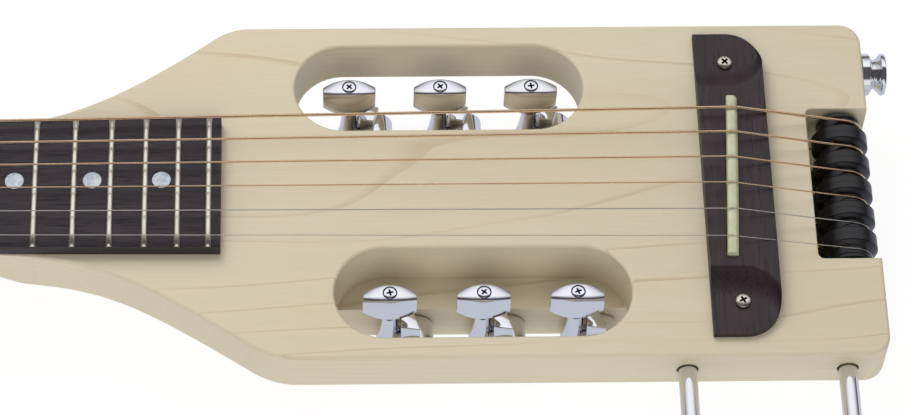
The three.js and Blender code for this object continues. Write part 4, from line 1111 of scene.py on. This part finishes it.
# %% Tuner housings
drum_radius = 7.4 * mm
case_half = 5.2 * mm
case_floor, tube_top, collar_top, shoulder_top, tower_top = (z * mm for z in (1.8, 9.5, 26.1, 12.6, 23.3))
bell_foot, bell_neck = 4.4 * mm, 2.65 * mm
tower_x, tower_near, tower_far = 3.9 * mm, 8.6 * mm, 10.6 * mm  # ahead of the shaft, seen from above
tower_inside, tower_outside = 2.4 * mm, 3.9 * mm  # on both sides of the tuners' line
tower_slope = 0.26
bush_reach = 3.3 * mm  # how far the bush stands in the string channel
shoulder_drop = 4.4 * mm  # below the gear's middle
mount_width, mount_lift = 2.4 * mm, 0.9 * mm
gear_room, gear_room_half = 0.45 * mm, 2.1 * mm
worm_room_foot, worm_room_rise = 2.7 * mm, 4.6 * mm
shaft_room, post_room = 0.1 * mm, 0.2 * mm
gear_tip, gear_root = 6.15 * mm, 4.45 * mm
gear_teeth = 14
gear_half = 1.5 * mm
post_radius = 2.9 * mm
post_tip_y = 15.4 * mm


def tower(x, side):
    """A block with slanting sides, whose top slopes down towards the tail."""
    near, far = side * (slot_y - tower_inside), side * (slot_y + tower_outside)
    start = x + tower_x
    bm = plate([(start, near), (x + tower_near, near), (x + tower_far, far), (start, far)], worm_z, tower_top)
    for vert in bm.verts:
        if vert.co.z > worm_z:
            vert.co.z -= tower_slope * (vert.co.x - start)
    return ease(bm, 0.35 * mm, 3)


def housing(n):
    side, x = key_side[n], shaft_x[n]
    y = side * slot_y
    wall, outer = side * (spine_half + gap), side * (slot_y + case_half)
    bush_end = side * (channel_half - bush_reach)
    at_post, at_shaft = (post_x[n], 0, worm_z), (x, y, 0)
    bell = [(0, case_floor), (4 * mm, case_floor), (bell_foot, case_floor + 0.4 * mm)]
    for t in shares(14):
        bell.append((mixed(bell_neck, bell_foot, (1 - t) ** 2.2), mixed(tube_top, collar_top, t)))
    solid = [
        turned(bell + [(0, collar_top)], UP, at_shaft),
        bar(ACROSS, bush_radius, *span(bush_end, y), at_post, 40),
        ease(block(x, post_x[n], *span(wall, outer), worm_z - shoulder_drop, shoulder_top), 0.6 * mm, 3),
        ease(block(x - mount_width, x, *span(wall, y), case_floor + mount_lift, shoulder_top), 0.5 * mm, 3),
        tower(x, side),
    ]
    hollow = [
        bar(ACROSS, gear_tip + gear_room, y - gear_room_half, y + gear_room_half, at_post, 40),
        bar(UP, worm_tip + gap, worm_room_foot, worm_z + worm_room_rise, at_shaft),
        bar(UP, shaft_radius + shaft_room, worm_z, collar_top + overrun, at_shaft),
        bar(ACROSS, post_radius + post_room, *span(bush_end - side * overrun, y), at_post),
    ]
    drum = rounded_bar(drum_radius, *span(wall, outer), 0.7 * mm, ACROSS, at_post)
    return combine(combine(drum, solid, "UNION"), hollow, "DIFFERENCE")


def gear(n):
    """The gear that the worm turns: a ring of vertices drawn in and out to make its teeth."""
    bm = bmesh.new()
    corners = ((gear_root, -0.31), (gear_tip, -0.13), (gear_tip, 0.13), (gear_root, 0.31))
    bmesh.ops.create_circle(bm, cap_ends=True, radius=gear_root, segments=gear_teeth * len(corners))
    bm.verts.ensure_lookup_table()
    for i, vert in enumerate(bm.verts):
        radius, share = corners[i % len(corners)]
        angle = 2 * math.pi / gear_teeth * (i // len(corners) + 0.5 + share)
        vert.co = (radius * math.cos(angle), -gear_half, radius * math.sin(angle))
    top = new_verts(bmesh.ops.extrude_face_region(bm, geom=list(bm.faces)))
    bmesh.ops.translate(bm, vec=(0, 2 * gear_half, 0), verts=top)
    tidy(bm)
    bmesh.ops.translate(bm, vec=(post_x[n], key_side[n] * slot_y, worm_z), verts=bm.verts)
    return bm


def post(n):
    ends = span(key_side[n] * post_tip_y, key_side[n] * (slot_y + gear_half))
    return joined([rounded_bar(post_radius, *ends, 0.5 * mm, ACROSS, (post_x[n], 0, worm_z), 48), gear(n)])


for n in numbers:
    finished(housing(n), f"polished_housing_{n}", chrome, "chrome", f"tuner_housing_{n}", smooth=30)
    finished(post(n), f"geared_post_{n}", chrome, "chrome", f"tuner_post_{n}", f"string_post_{n}", 40)
    finished(softened(f"tuner_nut_{n}"), f"hex_nut_{n}", chrome, "chrome", f"tuner_nut_{n}")
print("gear:", gear_teeth, "teeth,", round(2 * gear_tip / mm, 1), "mm across")

# %% [markdown]
# ## Tail pulleys
# Six pulleys turn side by side on one axle. Each has a square groove for its string between two flat treads,
# and neighbouring treads stand so close that they read as one. The first and the last pulley have a low rim on
# their outer side, so one half of the profile is drawn for each side and the two are joined.

# %% Tail pulleys
pulley_radius, pulley_groove = 9.7 * mm, 7.3 * mm
pulley_half, low_half = 5.09 * mm, 3.2 * mm
tread = 2.45 * mm
groove_floor = 1.3 * mm
low_rims = {1: 8.1 * mm, 6: 7.6 * mm}


def pulley_side(low_radius):
    """One half of a pulley's profile, as (radius, distance from the groove's middle), from groove to bore."""
    radius, reach, width, outer = pulley_radius, pulley_half, tread, 0.04 * mm
    if low_radius:
        radius, reach, width, outer = low_radius, low_half, tread / 2, 0.2 * mm
    start, inner = reach - width, 0.2 * mm
    return [(pulley_groove, groove_floor), (radius - inner, start - 0.1 * mm), (radius, start + inner),
            (radius, reach - outer), (radius - outer, reach), (axle_radius + 0.2 * mm, reach)]


def pulley(n):
    towards_treble, towards_bass = (pulley_side(low_rims.get(n) if n == end else 0) for end in (1, 6))
    profile = [(radius, -along) for radius, along in reversed(towards_treble)] + towards_bass
    return turned(profile + [profile[0]], ACROSS, (axle_centre.x, pitch_tail * (n - 3.5), axle_centre.z), 96)


for n in numbers:
    finished(pulley(n), f"satin_pulley_{n}", black_satin, "black_satin", f"pulley_{n}", f"tail_pulley_{n}", 28)
at_axle = (axle_centre.x, 0, axle_centre.z)
axle = rounded_bar(axle_radius, axle_low.y, axle_high.y, 0.4 * mm, ACROSS, at_axle, 48)
finished(axle, "steel_axle", rod_steel, "steel", "pulley_axle")
print("pulleys", round(2 * pulley_radius / mm, 1), "mm across")

# %% [markdown]
# ## Strings
# Each string is one path: straight from the comb over the nut, along to its own step on the saddle, a tangent
# to the pulley, round it and back under the top to its post, where it is wound. The tangent points come from
# the two circles, so the string lies on them at every size. A curve with a round bevel gives an even wire.

# %% Strings
string_names = ("string_1_high_e", "string_2_b", "string_3_g", "string_4_d", "string_5_a", "string_6_low_e")
crest_x = scale_x + 2.4 * mm
crest_offsets = [o * mm for o in (-0.9, 0.9, -0.9, -0.4, 0.2, 0.9)]
pitch_nut = 7.2 * mm
nut_rise = 7.7 * mm
comb_rise = 4.3 * mm
hair = 0.05 * mm  # between a string and what it lies on
winding_turns = 2.25
winding_gap = 0.55 * mm
winding_start_y = 17.4 * mm
winding_clearance = 0.35 * mm
ball_radius, ball_half = 1.9 * mm, 2 * mm
path_steps = 28  # round the pulley, and for each turn on the post


def tangent(between, reach):
    """The angles of the radii on both sides of the straight run that leads from one circle to the next."""
    run = Matrix.Rotation(math.asin(reach / between.length), 2) @ between.normalized()
    radii = [Matrix.Rotation(side * math.pi / 2, 2) @ run for side in (1, -1)]
    return [math.atan2(radius.y, radius.x) for radius in radii]


def string_path(n):
    diameter = string_diameters[n - 1]
    nut_y, tail_y = pitch_nut * (n - 3.5), pitch_tail * (n - 3.5)
    wrap = pulley_groove + hair + diameter / 2
    coil = post_radius + winding_clearance + diameter / 2
    pulley_at, post_at = Vector((axle_centre.x, axle_centre.z)), Vector((post_x[n], worm_z))
    crest = Vector((crest_x + tail_y * math.tan(saddle_skew) + crest_offsets[n - 1],
                    front_z + saddle_rise - board_drop(tail_y) + hair + diameter / 2))
    entry = tangent(pulley_at - crest, wrap)[0]
    leave, arrive = tangent(post_at - pulley_at, -(wrap + coil))
    while leave > entry:
        leave -= 2 * math.pi

    def on_circle(middle, radius, angle, y):
        return Vector((middle.x + radius * math.cos(angle), y, middle.y + radius * math.sin(angle)))

    nut_top = front_z + nut_rise - board_drop(nut_y) + diameter / 2
    points = [Vector((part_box(string_names[n - 1])[0].x + ball_half, nut_y, front_z - head_step + comb_rise)),
              Vector((nut_back_x - gap, nut_y, nut_top)), Vector((crest.x, tail_y, crest.y))]
    points += [on_circle(pulley_at, wrap, mixed(entry, leave, share), tail_y) for share in shares(path_steps)]
    for i in range(int(winding_turns * path_steps) + 1):
        turns = i / path_steps
        y = key_side[n] * (winding_start_y + diameter / 2 + (diameter + winding_gap) * turns)
        points.append(on_circle(post_at, coil, arrive + 2 * math.pi * turns, y))
    return points


def wire(name, points, radius):
    curve = bpy.data.curves.new(name, "CURVE")
    curve.dimensions = "3D"
    curve.bevel_depth = radius
    curve.bevel_resolution = 3
    curve.use_fill_caps = True
    spline = curve.splines.new("POLY")
    spline.points.add(len(points) - 1)
    for target, point in zip(spline.points, points):
        target.co = (*point, 1)
    return new_object(name, curve)


for n, name in zip(numbers, string_names):
    path = string_path(n)
    coat, slot = (bronze, "bronze_wound") if n > 2 else (plain_steel, "steel")
    finished(wire("wire_" + name, path, string_diameters[n - 1] / 2), "wire_" + name, coat, slot, name)
    ball = rounded_bar(ball_radius, -ball_half, ball_half, 0.4 * mm, ALONG, path[0], 24)
    finished(ball, f"ball_end_{n}", braid, "pickup_braid")
print("strings:", len(string_names))

# %% [markdown]
# ## Jack, lap rest and comb
# The jack is turned brass, chromed: a foot against the tail, a waist for the strap and a flange that keeps the
# strap on. The lap rest is one chromed rod bent twice, and its legs stand in two holes in the treble side. Both
# need nothing but smooth curves, because chrome shows every facet.

# %% Jack, lap rest and comb
jack_foot = ((3.3, -24), (5, -24), (5, 0.3), (7.1, 0.3), (7.4, 0.6), (7.4, 3.1), (7.2, 3.35), (6.9, 3.4),
             (6.9, 3.55), (6.7, 3.75))
jack_flange = ((7.3, 7.25), (7.4, 7.45), (7.4, 8.5), (7.2, 8.8), (6.8, 8.9), (4.3, 8.9), (3.9, 8.6), (3.3, 8.2),
               (3.3, -24))
rest_bend = 20 * mm


def jack():
    """Its foot and flange are radii and distances from the tail in millimetres, with a curved waist between."""
    waist = [(mixed(6.4, 5.1, s), mixed(3.8, 4.9, t)) for (c, s), t in zip(quarter(8), shares(8))]
    waist += [(mixed(5.1, 7, t ** 1.4), mixed(4.9, 7.1, t)) for t in shares(8, 1)]
    profile = [(radius * mm, along * mm) for radius, along in (*jack_foot, *waist, *jack_flange)]
    return turned(profile, ALONG, (tail_x, jack_y, jack_z), 80)


def lap_rest():
    head, tail = rest_legs_x
    bend_y = rest_low.y + rest_radius + rest_bend
    stations = [(Vector((head, rest_high.y, rest_z)), Vector((0, -1, 0)))]
    for middle_x, start in ((head + rest_bend, 2), (tail - rest_bend, 3)):
        for c, s in quarter(20, start):
            centre = Vector((middle_x + rest_bend * c, bend_y + rest_bend * s, rest_z))
            stations.append((centre, Vector((-s, c, 0))))
    stations.append((Vector((tail, rest_high.y, rest_z)), Vector((0, 1, 0))))
    sides = [2 * math.pi * share for share in shares(32)[:-1]]
    rings = []
    for centre, along in stations:
        out, up = along.cross(Vector(UP)) * rest_radius, Vector(UP) * rest_radius
        rings.append([centre + out * math.cos(angle) + up * math.sin(angle) for angle in sides])
    return ease(loft(rings), 0.5 * mm, 3, 60)


finished(jack(), "chromed_jack", chrome, "chrome", "end_pin_jack", smooth=35)
finished(lap_rest(), "chromed_lap_rest", chrome, "chrome", "lap_rest", "removable_rest", 35)
finished(softened("string_comb"), "black_comb", black_satin, "black_satin", "string_comb")
for node, material in (("truss_rod", rod_steel), ("saddle_pickup", braid)):
    frame["nodes"][node].material_slots[0].material = material
print("lap rest", round((rest_high.x - rest_low.x) / mm, 1), "mm wide")

# %% [markdown]
# ## The floor
# The photograph is a cut-out on white with soft light from above. The floor is pale and matt. It glows to the
# camera, yet keeps part of the object's shadow, and it doesn't glow underneath the tail end, where no light
# would reach.

# %% The floor
WHITE = (1, 1, 1, 1)
floor_size = 8
floor_glow = 1.06


def floor_material():
    material, tree, shader, place = blank_material("pale_floor", {"Roughness": 0.9})
    rays = add(tree, "LightPath").outputs
    where = add(tree, "SeparateXYZ", {0: place}).outputs
    middle, half_length = (bridge_low.x + tail_x) / 2, (tail_x - bridge_low.x) / 2
    # Painted shade: under the spine from the bridge to the tail, the floor is near black and doesn't glow,
    # standing for the shadow of the body there
    along = maths(tree, "COMPARE", where["X"], middle, half_length)
    painted_shade_under_tail = maths(tree, "MULTIPLY", along, maths(tree, "COMPARE", where["Y"], 0, spine_half - mm))
    fill(shader, {"Base Color": blended(tree, painted_shade_under_tail, "#f3f3f1", (0.01, 0.01, 0.01, 1))})
    # The floor also glows to diffuse rays: painted bounce light on the guitar's underside, treble side and slot
    # walls
    share = ranged(tree, rays["Is Diffuse Ray"], 0, 1, 0.86, 0.8)
    share = maths(tree, "MULTIPLY", share, maths(tree, "SUBTRACT", 1, painted_shade_under_tail))
    # Painted reflection: in reflections the floor's glow is a bluish grey instead of white
    tint = blended(tree, rays["Is Glossy Ray"], WHITE, (0.61, 0.64, 0.76, 1))
    glow = add(tree, "Emission", {"Color": tint, "Strength": floor_glow})
    fill(tree.nodes["Material Output"], {"Surface": add(tree, "MixShader", {0: share, 1: shader, 2: glow})})
    return material


bm = bmesh.new()
bmesh.ops.create_grid(bm, x_segments=1, y_segments=1, size=floor_size / 2)
floor = shape(bm, "floor")
floor.data.materials.append(floor_material())
print("floor", floor_size, "m square")

# %% [markdown]
# ## World and lamps
# Chrome shows its surroundings more than itself, so what it reflects is designed: a pale overhead, a darker
# band at the horizon, and a pale front. The world gives the even light, one lamp above the head's bass side
# gives it a direction, and a low one in front opens the treble side.

# %% World and lamps
ambient = 0.41


def studio():
    """Even light for matt surfaces, white for the camera, and shades that depend on direction for chrome."""
    world = bpy.data.worlds.new("studio")
    bpy.context.scene.world = world
    world.use_nodes = True
    sky = world.node_tree
    rays = add(sky, "LightPath").outputs
    way = add(sky, "SeparateXYZ", {0: add(sky, "TexCoord").outputs["Generated"]}).outputs
    high = ranged(sky, way["Z"], 0.1, 0.86, curve="SMOOTHSTEP")
    far = ranged(sky, way["Y"], 0.1, 0.3, curve="SMOOTHSTEP")
    front = ranged(sky, way["Y"], -0.8, -0.92, 0, 0.85, "SMOOTHSTEP")
    bright = maths(sky, "MAXIMUM", maths(sky, "MULTIPLY", high, far), front)
    shades = blended(sky, bright, (0.1, 0.09, 0.11, 1), (1.14, 1.14, 1.19, 1))
    light, reflected, backdrop = (add(sky, "Background", {"Color": colour, "Strength": strength})
                                  for colour, strength in ((WHITE, ambient), (shades, 1), (WHITE, 1)))
    both = add(sky, "MixShader", {0: rays["Is Glossy Ray"], 1: light, 2: reflected})
    both = add(sky, "MixShader", {0: rays["Is Camera Ray"], 1: both, 2: backdrop})
    fill(sky.nodes["World Output"], {"Surface": both})


def lamp(name, place, aim, size, power, colour=(1, 1, 1)):
    """A square lamp. Chrome doesn't see it, because its hard edge would show there."""
    data = bpy.data.lights.new(name, "AREA")
    data.shape = "SQUARE"
    data.size = size
    data.energy = power
    data.color = colour
    obj = new_object(name, data)
    obj.visible_glossy = False
    turn = (Vector(place) - Vector(aim)).to_track_quat("Z", "Y").to_matrix().to_4x4()
    obj.matrix_world = Matrix.Translation(place) @ turn


studio()
lamp("key", (-0.2, 0.48, 0.8), (-0.03, 0, 0), 0.6, 4.7)
lamp("front fill", (0, -1.1, 0.75), (0.05, 0, 0), 0.9, 5.5, (0.99, 0.97, 0.94))
print("lamps:", len(bpy.data.lights))
